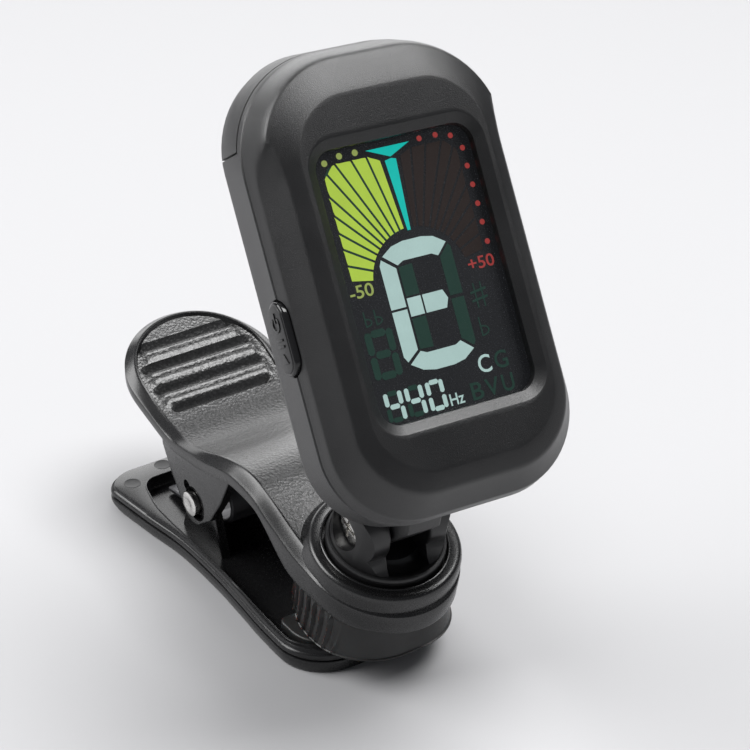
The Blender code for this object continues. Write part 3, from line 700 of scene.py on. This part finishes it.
graphic("scale_left", scale_segments(), LIME)
graphic("scale_right", scale_segments(mirror=True), UNLIT_RED)
graphic("scale_left_ground", [[
    (-8.3, 1.8), (-6.2, 1.8), (-5.9, 3.2), (-4.2, 4.9), (-1.5, 5.7), (-1.9, 12.7), (-3.3, 13.4), (-7.7, 13.4),
    (-8.3, 12.7)]], UNLIT_GREEN, -0.03)
graphic("marks_left", [circle(0.34, at, 14) for at in ((-8.0, 13.9), (-6.2, 14.3), (-4.4, 14.3))]
        + legend("-50", (-9.0, -6.3), (0.0, 1.35)), GREEN)
graphic("marks_right", [circle(0.30, at, 14) for at in (
    (3.1, 14.3), (5.0, 14.3), (6.7, 13.9), (7.7, 12.4), (7.7, 10.5), (7.75, 8.5), (7.75, 6.5), (7.7, 4.55),
    (7.7, 2.5))] + legend("+50", (4.8, 7.9), (-0.05, 1.25)), RED)
graphic("pointer", [[(-3.2, 14.25), (-0.6, 13.15), (1.9, 14.25)],
                    [(-1.35, 12.85), (-0.88, 5.5), (-0.52, 5.5), (-0.05, 12.85), (-0.6, 13.0)]], CYAN)

NOTE_UPPER = [(-4.45, 3.5), (-3.0, 2.3), (-2.3, 2.65), (1.05, 2.65), (1.75, 2.3), (3.0, 3.5), (1.7, 4.35),
              (0.4, 4.6), (-1.8, 4.6), (-3.2, 4.3)]
NOTE_LOWER = [(-4.45, -7.7), (-3.0, -6.6), (-2.3, -6.9), (1.05, -6.9), (1.7, -6.6), (3.0, -7.7), (1.7, -8.55),
              (0.4, -8.8), (-1.8, -8.8), (-3.2, -8.5)]
graphic("note_letter", [
    NOTE_UPPER, NOTE_LOWER,
    [(-5.0, -1.95), (-5.0, 2.6), (-4.7, 3.2), (-3.25, 2.05), (-3.25, -1.95)],
    [(-5.0, -2.2), (-3.25, -2.2), (-3.25, -6.4), (-4.65, -7.4), (-5.0, -6.8)],
    rectangle((-3.0, -1.4), (-1.15, -3.05)),
    [(-1.2, -1.15), (1.2, -1.15), (1.6, -2.1), (1.2, -3.05), (-1.2, -3.05)]], WHITE)
graphic("note_unlit", [
    [(3.4, -1.95), (3.4, 2.9), (3.15, 3.3), (1.9, 2.1), (1.9, -1.95)],
    [(3.4, -2.3), (3.4, -7.0), (3.1, -7.4), (1.9, -6.4), (1.9, -2.3)],
    [(-3.0, -0.95), (-1.4, -0.95), (-1.4, 2.2), (-3.0, 2.1)],
    [(-3.0, -3.25), (-1.4, -3.25), (-1.4, -6.5), (-3.0, -6.4)]], UNLIT_GREEN)


def flat_sign(u, v, height):
    """A musical flat: an upright stem with a half-round bowl at its foot."""
    width = height * 0.42
    turns = [math.pi * k / 8 for k in range(9)]
    stem = rectangle((u, u + STROKE), (v, v + height))
    outer = [(u + STROKE + width * math.sin(a), v + height * (0.28 - 0.28 * math.cos(a))) for a in turns]
    inner = [(u + STROKE + (width - 0.17) * math.sin(a),
              v + height * 0.28 - (height * 0.28 - STROKE) * math.cos(a)) for a in turns]
    return [stem, *[[outer[k], outer[k + 1], inner[k + 1], inner[k]] for k in range(8)]]


def sharp_sign(u, v, width, height):
    posts = [rectangle((a, a + STROKE), (v, v + height)) for a in (u + width * 0.25, u + width * 0.68)]
    rails = [[(u, b), (u + width, b + 0.25), (u + width, b + 0.5), (u, b + 0.25)]
             for b in (v + height * 0.25, v + height * 0.58)]
    return posts + rails


def digit_segments(u, v, names):
    """Seven-segment strokes, by letter, of a digit that fills u and v."""
    middle = (v[0] + v[1]) / 2
    thick = (u[1] - u[0]) * 0.24
    left, inner, right = (u[0], u[0] + thick), (u[0] + thick, u[1] - thick), (u[1] - thick, u[1])
    upper, lower = (middle + 0.12, v[1] - 0.15), (v[0] + 0.15, middle - 0.12)
    strokes = {"a": (inner, (v[1] - thick, v[1])), "b": (right, upper), "c": (right, lower),
               "d": (inner, (v[0], v[0] + thick)), "e": (left, lower), "f": (left, upper),
               "g": (inner, (middle - thick / 2, middle + thick / 2))}
    return [bar(*strokes[name]) for name in names]


PITCH_ROWS = (-12.9, -9.7)
PITCH_DIGITS = ((-8.4, -6.3), (-6.0, -3.9), (-3.55, -1.5))
MODE_ROW_UPPER, MODE_ROW_LOWER = (-10.45, -8.6), (-12.9, -11.1)


def pitch(names):
    """Strokes of the pitch's digits, given by letter for each of them."""
    return [stroke for u, letters in zip(PITCH_DIGITS, names)
            for stroke in digit_segments(u, PITCH_ROWS, letters)]


graphic("pitch_lit", pitch(("bcfg", "bcfg", "abcdef")) + legend("Hz", (-1.2, 0.45), (-12.8, -11.6))
        + legend("C", (2.95, 4.45), MODE_ROW_UPPER), WHITE)
graphic("legends_unlit", pitch(("ade", "ade")) + digit_segments((-8.7, -5.5), (-8.5, -3.4), "abcdefg")
        + flat_sign(-8.2, -3.0, 1.6) + flat_sign(-7.0, -3.0, 1.6) + sharp_sign(4.2, -3.9, 1.9, 2.6)
        + flat_sign(4.3, -6.8, 2.0) + legend("G", (4.9, 6.45), MODE_ROW_UPPER)
        + legend("B", (1.4, 2.8), MODE_ROW_LOWER) + legend("V", (3.1, 4.7), MODE_ROW_LOWER)
        + legend("U", (5.1, 6.5), MODE_ROW_LOWER), UNLIT_GREEN)

# ---- head: button
BUTTON_OUT, BUTTON_BACK = -14.95, -12.2
button = merged("button_body",
                prism("stem", capsule_outline(3.85, 1.8), BUTTON_OUT + 0.12, BUTTON_BACK, HEAD, "Y", 0.3),
                prism("flange", capsule_outline(4.65, 2.25), BUTTON_BACK, BUTTON_BACK + 0.4, HEAD, "Y", 0.08))
piece(button, "button", BUTTON_GLOSS, "button_plastic", "power_button")
button_face = prism("button_face", inset(capsule_outline(3.85, 1.8), 0.32), BUTTON_OUT + 0.02,
                    BUTTON_OUT + 0.5, HEAD, "Y", 0.1)
piece(button_face, "button", BUTTON_FACE, "button_plastic")


def button_mark(outline):
    """A raised mark on the button's face, outlined as (along the depth, up) from its middle."""
    x, z = BUTTON_MIDDLE
    return prism("mark", [(x + a, z + b) for a, b in outline], BUTTON_OUT - 0.10, BUTTON_OUT + 0.1, HEAD, "Y",
                 0.04)


MARK_LINE = 0.26
open_ring = [circle(radius, (0, 1.55), 22, 130, 410) for radius in (0.85, 0.85 - MARK_LINE)]
marks = [button_mark(outline) for outline in (
    open_ring[0] + open_ring[1][::-1], rectangle((-0.13, 0.13), (1.7, 2.75)),
    *(rectangle((-0.75, 0.75), (b, b + MARK_LINE)) for b in (-0.2, -0.85)),
    [(-0.8, -2.5), (0.8, -2.5), (0, -1.45)])]
piece(merged("button_marks", *marks), "button", BUTTON_MARK, "button_plastic")

# ---- CAD nodes shown as they are
for material, slot, names in (
        (GUIDE, "diffuser", ["backlight_plate"]), (CONNECTOR, "connector_rubber", ["lcd_connector"]),
        (BOARD, "board", ["circuit_board"]), (CHIP, "chip", ["tuner_chip", "tact_switch"]),
        (BRASS, "contact_brass", ["contact_minus", "contact_plus", "piezo_sensor"]),
        (STEEL, "plated_steel", ["coin_cell", "case_screw_left", "case_screw_right", "swivel_screw",
                                 "swivel_washer"])):
    for node in (frame["nodes"][name] for name in names):
        node.data.materials.clear()
        node.data.materials.append(material)

# ---- yoke, its screw and nut
HINGE_HEIGHT = 4.2
HINGE = YOKE @ Matrix.Translation((0, 0, HINGE_HEIGHT * MM)) @ ALONG_Y
base_profile = [
    (0.3, -1.75), (6.5, -1.75), (6.7, -1.6), (6.76, -1.4), (6.76, 0.3), (6.72, 0.56), (6.6, 0.74),
    (6.42, 0.8), (6.22, 0.74), (5.9, 0.52), (5.4, 0.3), (4.9, 0.22), (4.3, 0.24), (3.9, 0.4), (3.6, 0.7),
    (0.3, 0.75)]
yoke_parts = [turned("yoke_base", base_profile, YOKE, 96)]
ear = [(-6.2, -0.6), (6.2, -0.6), (6.0, 0.2), (5.3, 0.62), (4.75, 1.2), (4.4, 1.9),
       *circle(4.4, (0, HINGE_HEIGHT), 40, -24, 204), (-4.4, 1.9), (-4.75, 1.2), (-5.3, 0.62), (-6.0, 0.2)]
round_wall = [(6.2, -1.5), (6.3, 0.0), (6.3, 7.4), (6.1, 8.1), (5.6, 8.6), (4.8, 8.9)]
for side, seat in ((-1, [(2.5, -9), (2.5, -3.0)]), (1, [(2.4, 3.6), (2.4, 9)])):
    cheek = prism("cheek", ear, *sorted((side * 2.45, side * 7.0)), YOKE, "Y", 0.3, 4)
    cut(cheek, turned("wall", round_wall, YOKE, 96), "INTERSECT")
    yoke_parts.append(cut(cheek, turned("seat", seat, HINGE, 48)))
piece(merged("yoke_cheeks_and_base", *yoke_parts), "yoke", YOKE_PLASTIC, "clip_plastic", "swivel_yoke")

screw = turned("hinge_screw_turned", [
    (0.2, -5.36), (0.9, -5.35), (1.5, -5.28), (1.95, -5.14), (2.2, -4.96), (2.28, -4.75), (2.28, -3.25),
    (2.1, -3.15), (1.0, -3.15), (1.0, 4.8), (0.85, 4.95), (0.2, 4.95)], HINGE, 64)
for a, b in (((-1.35, 1.35), (-0.24, 0.24)), ((-0.24, 0.24), (-1.35, 1.35))):
    cut(screw, prism("driver", rectangle(a, b), -6, -4.8, HINGE, "Z"))
piece(screw, "yoke", STEEL, "plated_steel", "hinge_screw")
piece(prism("hinge_nut_hex", circle(2.1, count=6), 3.8, 5.2, HINGE, "Z", 0.16), "yoke", STEEL, "plated_steel",
      "hinge_nut")

# ---- upper jaw
LEVER_BACK, LEVER_FRONT, LEVER_HALF = -27.2, 29.1, 9.5
EDGE = ((LEVER_BACK, 21.3), (-23, 19.6), (-19.8, 18.5), (-15, 16.9), (-10.3, 15.6), (-7, 15.7), (-3.2, 16.1),
        (1, 17.1), (3.7, 17.5), (8, 17), (10.1, 16), (12.2, 15.1), (16.3, 13.6), (20.4, 12.8),
        (LEVER_FRONT, 10.4))
CREST = ((LEVER_BACK, 22.3), (-23, 20.6), (-19, 19), (-15, 17.3), (-11, 16.1), (-7.5, 15.85), (-4, 16.6),
         (0, 17.9), (4, 18.7), (7.5, 18.5), (11, 17.3), (15, 15.6), (21, 13.7), (LEVER_FRONT, 11.1))
RIM_WIDTH, RIM_STEP = 1.25, 0.42
PIN_BORE = 1.62
GROOVES = ((-23.1, 7.0), (-20.1, 7.9), (-17.0, 7.9), (-14.1, 7.2))     # (x, half width)
FINE_ROWS = (*(1 - 0.0125 * k for k in range(25)), 0.62, 0.5, 0.38, 0.25, 0.12, 0.0)
ROWS = (1.0, 0.98, 0.94, 0.89, 0.83, 0.76, 0.68, 0.59, 0.5, 0.4, 0.3, 0.2, 0.1, 0.0)
BOSS_X, BOSS_Z = (value / MM for value in (JOINTS["swivel"]["pos_m"][0], JOINTS["swivel"]["pos_m"][2]))
BOSS_SLOPE = SWIVEL_AXIS.x / SWIVEL_AXIS.z


def lever_plan(offset, straight=90, arcs=(40, 20)):
    return plan(LEVER_BACK, LEVER_FRONT, LEVER_HALF, 9.45, 9.35, offset, straight, arcs,
                lambda x: 1 - x / 380)


def crest(x):
    return curve_height(CREST, x)


def edge_height(x):
    return curve_height(EDGE, x)


def lever_floor(x):
    """Height of the lever's lower edge; its skirt deepens beside the boss."""
    return edge_height(x) - 1.5 - 1.8 * fade(x, 9, 15) * fade(x, 28, 20) - 1.1 * fade(x, 20, 26)


def below_boss(x, y, height):
    """Height of the lever's top, lowered inside the boss's ring."""
    apart = math.hypot(x - BOSS_X, y)
    low = BOSS_Z - (x - BOSS_X) * BOSS_SLOPE - 2.5
    return height + (low - height) * fade(apart, 8.4, 7.5) if low < height else height


def groove_depth(x, y):
    """Thumb grooves: a sharp valley, then a land that rises to a fine double bead and eases off again."""
    depth = 0.0
    for valley, half in GROOVES:
        side = fade(abs(y), half, half - 1.2)
        ahead = x - valley
        depth -= side * 0.80 * max(1 - abs(ahead) / 0.62, 0.0) ** 0.8
        if valley != GROOVES[-1][0]:
            depth += side * 0.28 * fade(ahead, 0.4, 1.0) * fade(ahead, 2.9, 1.8)
            depth -= side * 0.20 * max(1 - abs(ahead - 1.45) / 0.26, 0.0)
    return depth


def lever_top(x, y):
    return below_boss(x, y, crest(x) - RIM_STEP + groove_depth(x, y))


def lever_ring(offset, height, draw=0.0):
    """The lever's plan at a height; draw pulls its front in towards the boss's axis."""
    ring = []
    for x, y in lever_plan(offset):
        shrink = 1 - draw * fade(x, 15, 24)
        ring.append((BOSS_X + (x - BOSS_X) * shrink - PIN_X, y * shrink, height(x) - PIN_Z))
    return ring


def deck(outline, height, rows=ROWS):
    """Rings that draw an outline in to its centre line over a surface."""
    return [[(x - PIN_X, y * row, height(x, y * row) - PIN_Z) for x, y in outline] for row in rows]


def band(share):
    """Height of the rim's sloping band, from the outer edge to the crest."""
    return lambda x: edge_height(x) + (crest(x) - edge_height(x)) * share


def above(height, lift):
    """A height along the clip, raised by a fixed lift."""
    return lambda x: height(x) + lift


lever_rings = deck(lever_plan(1.7), lambda x, y: lever_floor(x) + 0.7, ROWS[::-1])
lever_rings += [lever_ring(offset, above(lever_floor, lift), draw) for offset, lift, draw in (
    (1.6, 0.1, 0.05), (1.45, 0.0, 0.05), (0.35, 0.0, 0.05), (0.1, 0.1, 0.05), (0.0, 0.35, 0.045))]
lever_rings += [lever_ring(0.0, above(edge_height, -0.16)), lever_ring(0.03, above(edge_height, -0.05))]
lever_rings += [lever_ring(offset, band(share)) for offset, share in (
    (0.12, 0.04), (0.35, 0.26), (0.7, 0.6), (1.0, 0.86), (RIM_WIDTH - 0.1, 0.97))]
lever_rings += [lever_ring(RIM_WIDTH + step, above(crest, lift)) for step, lift in (
    (0.0, 0.0), (0.14, 0.0), (0.2, -0.08), (0.24, -0.9))]
lever_rings += deck(lever_plan(RIM_WIDTH + 0.3), lambda x, y: below_boss(x, y, crest(x) - 0.95) - 0.3)[1:]

ear_top = [(x - PIN_X, lever_floor(x) + 0.55 - PIN_Z) for x in (2.8, 0.5, -2.5, -5, -7.5, -10, -13.6)]
ear_outline = [*ear_top, (-6.2, 5.2), (-4.1, 1.8), *circle(2.5, (0.55, 0.1), 20, 205, 318), (4.7, 0.1),
               (7.3, 3.9)]
jaw_parts = [loft("lever_body", lever_rings, PIN, caps=False)]
for side in (-1, 1):
    plate = prism("ear", ear_outline, *sorted((side * 7.7, side * 9.0)), PIN, "Y", 0.22)
    cut(plate, prism("hole", circle(PIN_BORE, count=40), -12, 12, PIN))
    for outline in (circle(2.2, (1.25, 0.7), 40), circle(0.72, (-0.55, 2.35), 24)):
        cut(plate, prism("slot", outline, *sorted((side * 8.3, side * 9.5)), PIN))
    jaw_parts.append(plate)


def boss_reach(radius, height, angle):
    """The boss's outer wall flares into the lever behind it."""
    if radius < 8.3 or height > -0.2:
        return radius
    return radius + 1.9 * fade(-height, 0.2, 2.4) ** 1.4 * max(-math.cos(angle), 0.0) ** 1.3


boss_profile = [
    (1.6, -3.3), (3.6, -3.3), (3.6, -3.4), (8.4, -3.4), (8.55, -3.3), (8.66, -2.6), (8.7, -1.9),
    (8.7, -1.4), (8.69, -1.0), (8.66, -0.75), (8.6, -0.5), (8.5, -0.3), (8.36, -0.16), (8.2, -0.08),
    (7.9, -0.05), (7.5, -0.1), (7.3, -0.14), (7.22, -0.06), (7.12, -0.04), (7.02, -0.1), (6.98, -0.3),
    (6.98, -2.0), (1.6, -2.0)]
jaw_parts.append(turned("boss", boss_profile, BOSS, 120, boss_reach, closed=True))
piece(merged("upper_jaw_shell", *jaw_parts), "lever", CLIP, "clip_plastic", "upper_jaw")

top_outline = lever_plan(RIM_WIDTH + 0.26, 240, (110, 20))
top_rings = [[(x - PIN_X, y, crest(x) - 0.85 - PIN_Z) for x, y in top_outline],
             *deck(top_outline, lever_top, FINE_ROWS)]
piece(loft("lever_top_grip", top_rings, PIN, caps=False, crease=28), "lever", GRIP, "clip_plastic")

# ---- lower jaw
JAW_BACK, JAW_FRONT, JAW_HALF = -24.6, 21.8, 10.3
POCKET_BACK, POCKET_FRONT, POCKET_HALF = -20.9, 20.1, 9.35
JAW_FLARE = ((-22, 1.17), (-14, 1.08), (-8, 1.0), (0, 0.99), (6, 1.02), (12, 1.06), (22, 1.07))
POCKET_FLARE = ((-21, 0.84), (-17, 0.95), (-14, 1.0), (0, 1.01), (6, 1.03), (12, 1.07), (20, 1.08))


def flared(flare, *sizes):
    return plan(*sizes, 44, (14, 14), lambda x: curve_height(flare, x))


def jaw_plan(offset, back=JAW_BACK):
    return flared(JAW_FLARE, back, JAW_FRONT, JAW_HALF, 3.6, 6.0, offset)


def pocket_plan(offset):
    return flared(POCKET_FLARE, POCKET_BACK, POCKET_FRONT, POCKET_HALF, 1.8, 4.6, offset)


def at_height(outline, z):
    return [(x - PIN_X, y, z - PIN_Z) for x, y in outline]


tray_rings = [at_height(jaw_plan(*where), z) for z, *where in (
    (0.0, 0.45, -21.85), (0.08, 0.3, -22.6), (0.2, 0.2, -23.2), (0.45, 0.12, -23.9), (0.8, 0.05, -24.4),
    (1.15, 0.0), (1.48, 0.0), (1.62, 0.08), (1.68, 0.3), (1.86, 0.34), (1.93, 0.1), (2.04, 0.02), (2.3, 0.0),
    (2.48, 0.05), (2.6, 0.16), (2.54, 0.24), (2.62, 0.32), (2.86, 0.38), (2.98, 0.46), (3.03, 0.6))]
tray_rings += [at_height(pocket_plan(offset), z) for offset, z in (
    (-0.2, 3.04), (-0.16, 3.1), (-0.08, 3.13), (0.0, 3.08), (0.04, 2.9), (0.12, 1.85), (0.25, 1.65),
    (0.5, 1.6))]
tray_rings += deck(pocket_plan(0.5), lambda x, y: 1.6)[1:]
tray_parts = [loft("tray", tray_rings, PIN, caps=False),
              prism("sole", jaw_plan(0.46, -21.84), 0.0, 0.9, WORLD, "Z")]
tray_ear = [(-5.2, 0.9 - PIN_Z), (4.6, 0.9 - PIN_Z), *circle(2.7, (0, 0), 24, -5, 185)]
for side in (-1, 1):
    plate = prism("ear", tray_ear, *sorted((side * 6.2, side * 7.4)), PIN, "Y", 0.2)
    tray_parts.append(cut(plate, prism("hole", circle(PIN_BORE, count=40), -12, 12, PIN)))
piece(merged("lower_jaw_tray", *tray_parts), "clip_base", CLIP, "clip_plastic", "lower_jaw")
mark_profile = [(0.2, 2.9), (1.05, 2.9), (1.05, 3.04), (1.0, 3.07), (0.9, 3.05), (0.2, 3.04)]
ejector_marks = [turned("mark", mark_profile, Matrix.Translation(Vector((x, y, 0)) * MM), 40)
                 for x, y in ((-21.2, -9.3), (-21.2, 9.3), (-22.9, -4.1), (-22.9, 4.1))]
piece(merged("tray_ejector_marks", *ejector_marks), "clip_base", CHIP, "clip_plastic")

# ---- pin and spring
PIN_LONG = 9.25
pin_end = [(0.2, 0.1), (0.45, 0.1), (0.8, 0.0), (1.3, 0.02), (1.52, 0.14), (1.58, 0.4)]   # radius, inwards
pin_profile = [(radius, -PIN_LONG + inwards) for radius, inwards in pin_end]
pin_profile += [(1.58, -8.6), (1.4, -8.5), (1.4, 8.5), (1.58, 8.6)]
pin_profile += [(radius, PIN_LONG - inwards) for radius, inwards in reversed(pin_end)]
piece(turned("pivot_pin_turned", pin_profile, PIN @ ALONG_Y, 64), "clip_base", STEEL, "plated_steel",
      "pivot_pin")

SPRING_BEND = 3.1
arms = [(-9.6, 6.75), (-8.0, 6.0), (-6.2, 5.1), (-4.6, 4.2), (-2.9, 3.45)]
bend = [(SPRING_BEND * math.cos(a) * (1.25 if a < 1.5 else 1.0), SPRING_BEND * math.sin(a))
        for a in (math.radians(105 - 7.5 * k) for k in range(27))]
spring_path = [*arms, *bend, (-3.2, -3.6), (-5.0, -4.25), (-6.8, -4.65), (-8.6, -5.0), (-11.6, -5.5)]


def strip(name, centre, thick, half_width, place):
    """A bent strip with rounded long edges."""
    flat, side, corner = thick / 2, half_width, 0.14
    section = [(side, flat - corner), (side - corner, flat), (-side + corner, flat),
               (-side, flat - corner), (-side, -flat + corner), (-side + corner, -flat),
               (side - corner, -flat), (side, -flat + corner)]
    rings = []
    for k, (x, z) in enumerate(centre):
        ahead, behind = centre[min(k + 1, len(centre) - 1)], centre[max(k - 1, 0)]
        along = Vector((ahead[0] - behind[0], ahead[1] - behind[1])).normalized()
        rings.append([(x - along.y * b, a, z + along.x * b) for a, b in section])
    return loft(name, rings, place)


piece(strip("leaf_spring", spring_path, 0.6, 5.6, PIN), "clip_base", SPRING, "spring_steel", "clip_spring")

# ---- pads
RIB_PITCH = 1.3


def pad_ring(offset, height, rib=0.0):
    """The pad's plan at a height; the ribs on its sides curve with height and fade out at the front."""
    points = []
    for x, y in plan(11.4, 26.8, 8.45, 5.5, 7.2, offset, 30, (60, 90)):
        z = height(x)
        wave = 0.0
        if abs(y) > 3.5 and 11.0 < x < 23.2:
            turn = ((x + 0.05 * (z - 8) ** 2 - 12.0) / RIB_PITCH) % 1
            wave = rib * (0.3 - 1.5 * max(1 - abs(turn - 0.5) / 0.26, 0.0)) * fade(x, 23.2, 21.8)
        points.append((x - PIN_X, y + math.copysign(wave, y) if y else y, z - PIN_Z))
    return points

def pad_foot(x):
    """Height of the moulding line round the pad's foot, which climbs towards the back."""
    return 3.75 + 2.2 * fade(x, 18.5, 10.5)


def pad_level(share):
    """A height between the pad's moulding line and the lever above it."""
    return lambda x: pad_foot(x) + 0.2 + (lever_floor(x) - 0.7 - pad_foot(x)) * share


pad_rings = [pad_ring(3.4, lambda x: 3.4), pad_ring(1.6, lambda x: 3.42)]
pad_rings += [pad_ring(offset, above(pad_foot, lift), rib) for offset, lift, rib in (
    (0.7, -0.3, 0.0), (0.25, -0.12, 0.0), (-0.05, -0.05, 0.0), (-0.08, 0.08, 0.0), (0.08, 0.16, 0.2))]
pad_rings += [pad_ring(0.08 + 0.5 * share, pad_level(share), 0.5)
              for share in (0.08, 0.16, 0.26, 0.36, 0.46, 0.56, 0.66, 0.76, 0.86)]
pad_rings += [pad_ring(0.6, pad_level(0.94), 0.3), pad_ring(0.8, above(lever_floor, -0.4)),
              pad_ring(1.2, above(lever_floor, -0.3))]
piece(loft("upper_pad_ribbed", pad_rings, PIN), "lever", PAD, "pad_rubber", "upper_pad")

lower_pad_plan = plan(12.6, POCKET_FRONT - 0.3, POCKET_HALF - 0.3, 1.0, 4.4, 0.0, 30, (6, 10))
lower_pad = prism("lower_pad_ribbed", lower_pad_plan, 1.75, 3.05, WORLD, "Z", 0.25)
ribs = [prism("rib", rectangle((13.6 + RIB_PITCH * k, 14.2 + RIB_PITCH * k), (-6.4, 6.4)), 2.9, 3.25, WORLD,
              "Z", 0.18) for k in range(4)]
piece(merged("lower_pad_ribbed", lower_pad, *ribs), "clip_base", PAD, "pad_rubber", "lower_pad")

# ---- studio
TARGET = Vector((0.02961, -0.00713, 0.04288))
CAMERA_AT = Vector((0.19789, -0.11936, 0.16250))


def look(obj, location, target):
    obj.location = location
    obj.rotation_mode = "QUATERNION"
    obj.rotation_quaternion = (Vector(target) - Vector(location)).to_track_quat("-Z", "Y")


def softbox(name, location, size, power):
    light = bpy.data.lights.new(name, "AREA")
    light.shape = "RECTANGLE"
    light.size, light.size_y = size
    light.energy = power
    look(linked(name, light), location, TARGET)


floor_mesh = bpy.data.meshes.new("studio_floor")
floor_mesh.from_pydata([(-3, -3, 0), (3, -3, 0), (3, 3, 0), (-3, 3, 0)], [], [(0, 1, 2, 3)])
floor_mesh.materials.append(floor_paper())
floor = linked("studio_floor", floor_mesh)

softbox("softbox_overhead", (0.07, 0.17, 0.48), (0.30, 0.30), 3.0)
softbox("softbox_back_left", (-0.70, 0.42, 0.30), (1.0, 0.6), 5.0)
softbox("softbox_left_fill", (-0.28, -0.42, 0.42), (0.5, 0.4), 4.5)

world = bpy.data.worlds.new("studio_world")
world.use_nodes = True
background = world.node_tree.nodes["Background"].inputs
background["Color"].default_value = (0.92, 0.94, 1.0, 1)
background["Strength"].default_value = 0.17
SCENE.world = world
SCENE.view_settings.view_transform = "Standard"

lens = bpy.data.cameras.new("camera")
lens.lens = 112.8
lens.sensor_width = 36.0
lens.clip_start = 0.01
camera = linked("camera", lens)
look(camera, CAMERA_AT, TARGET)
SCENE.camera = camera
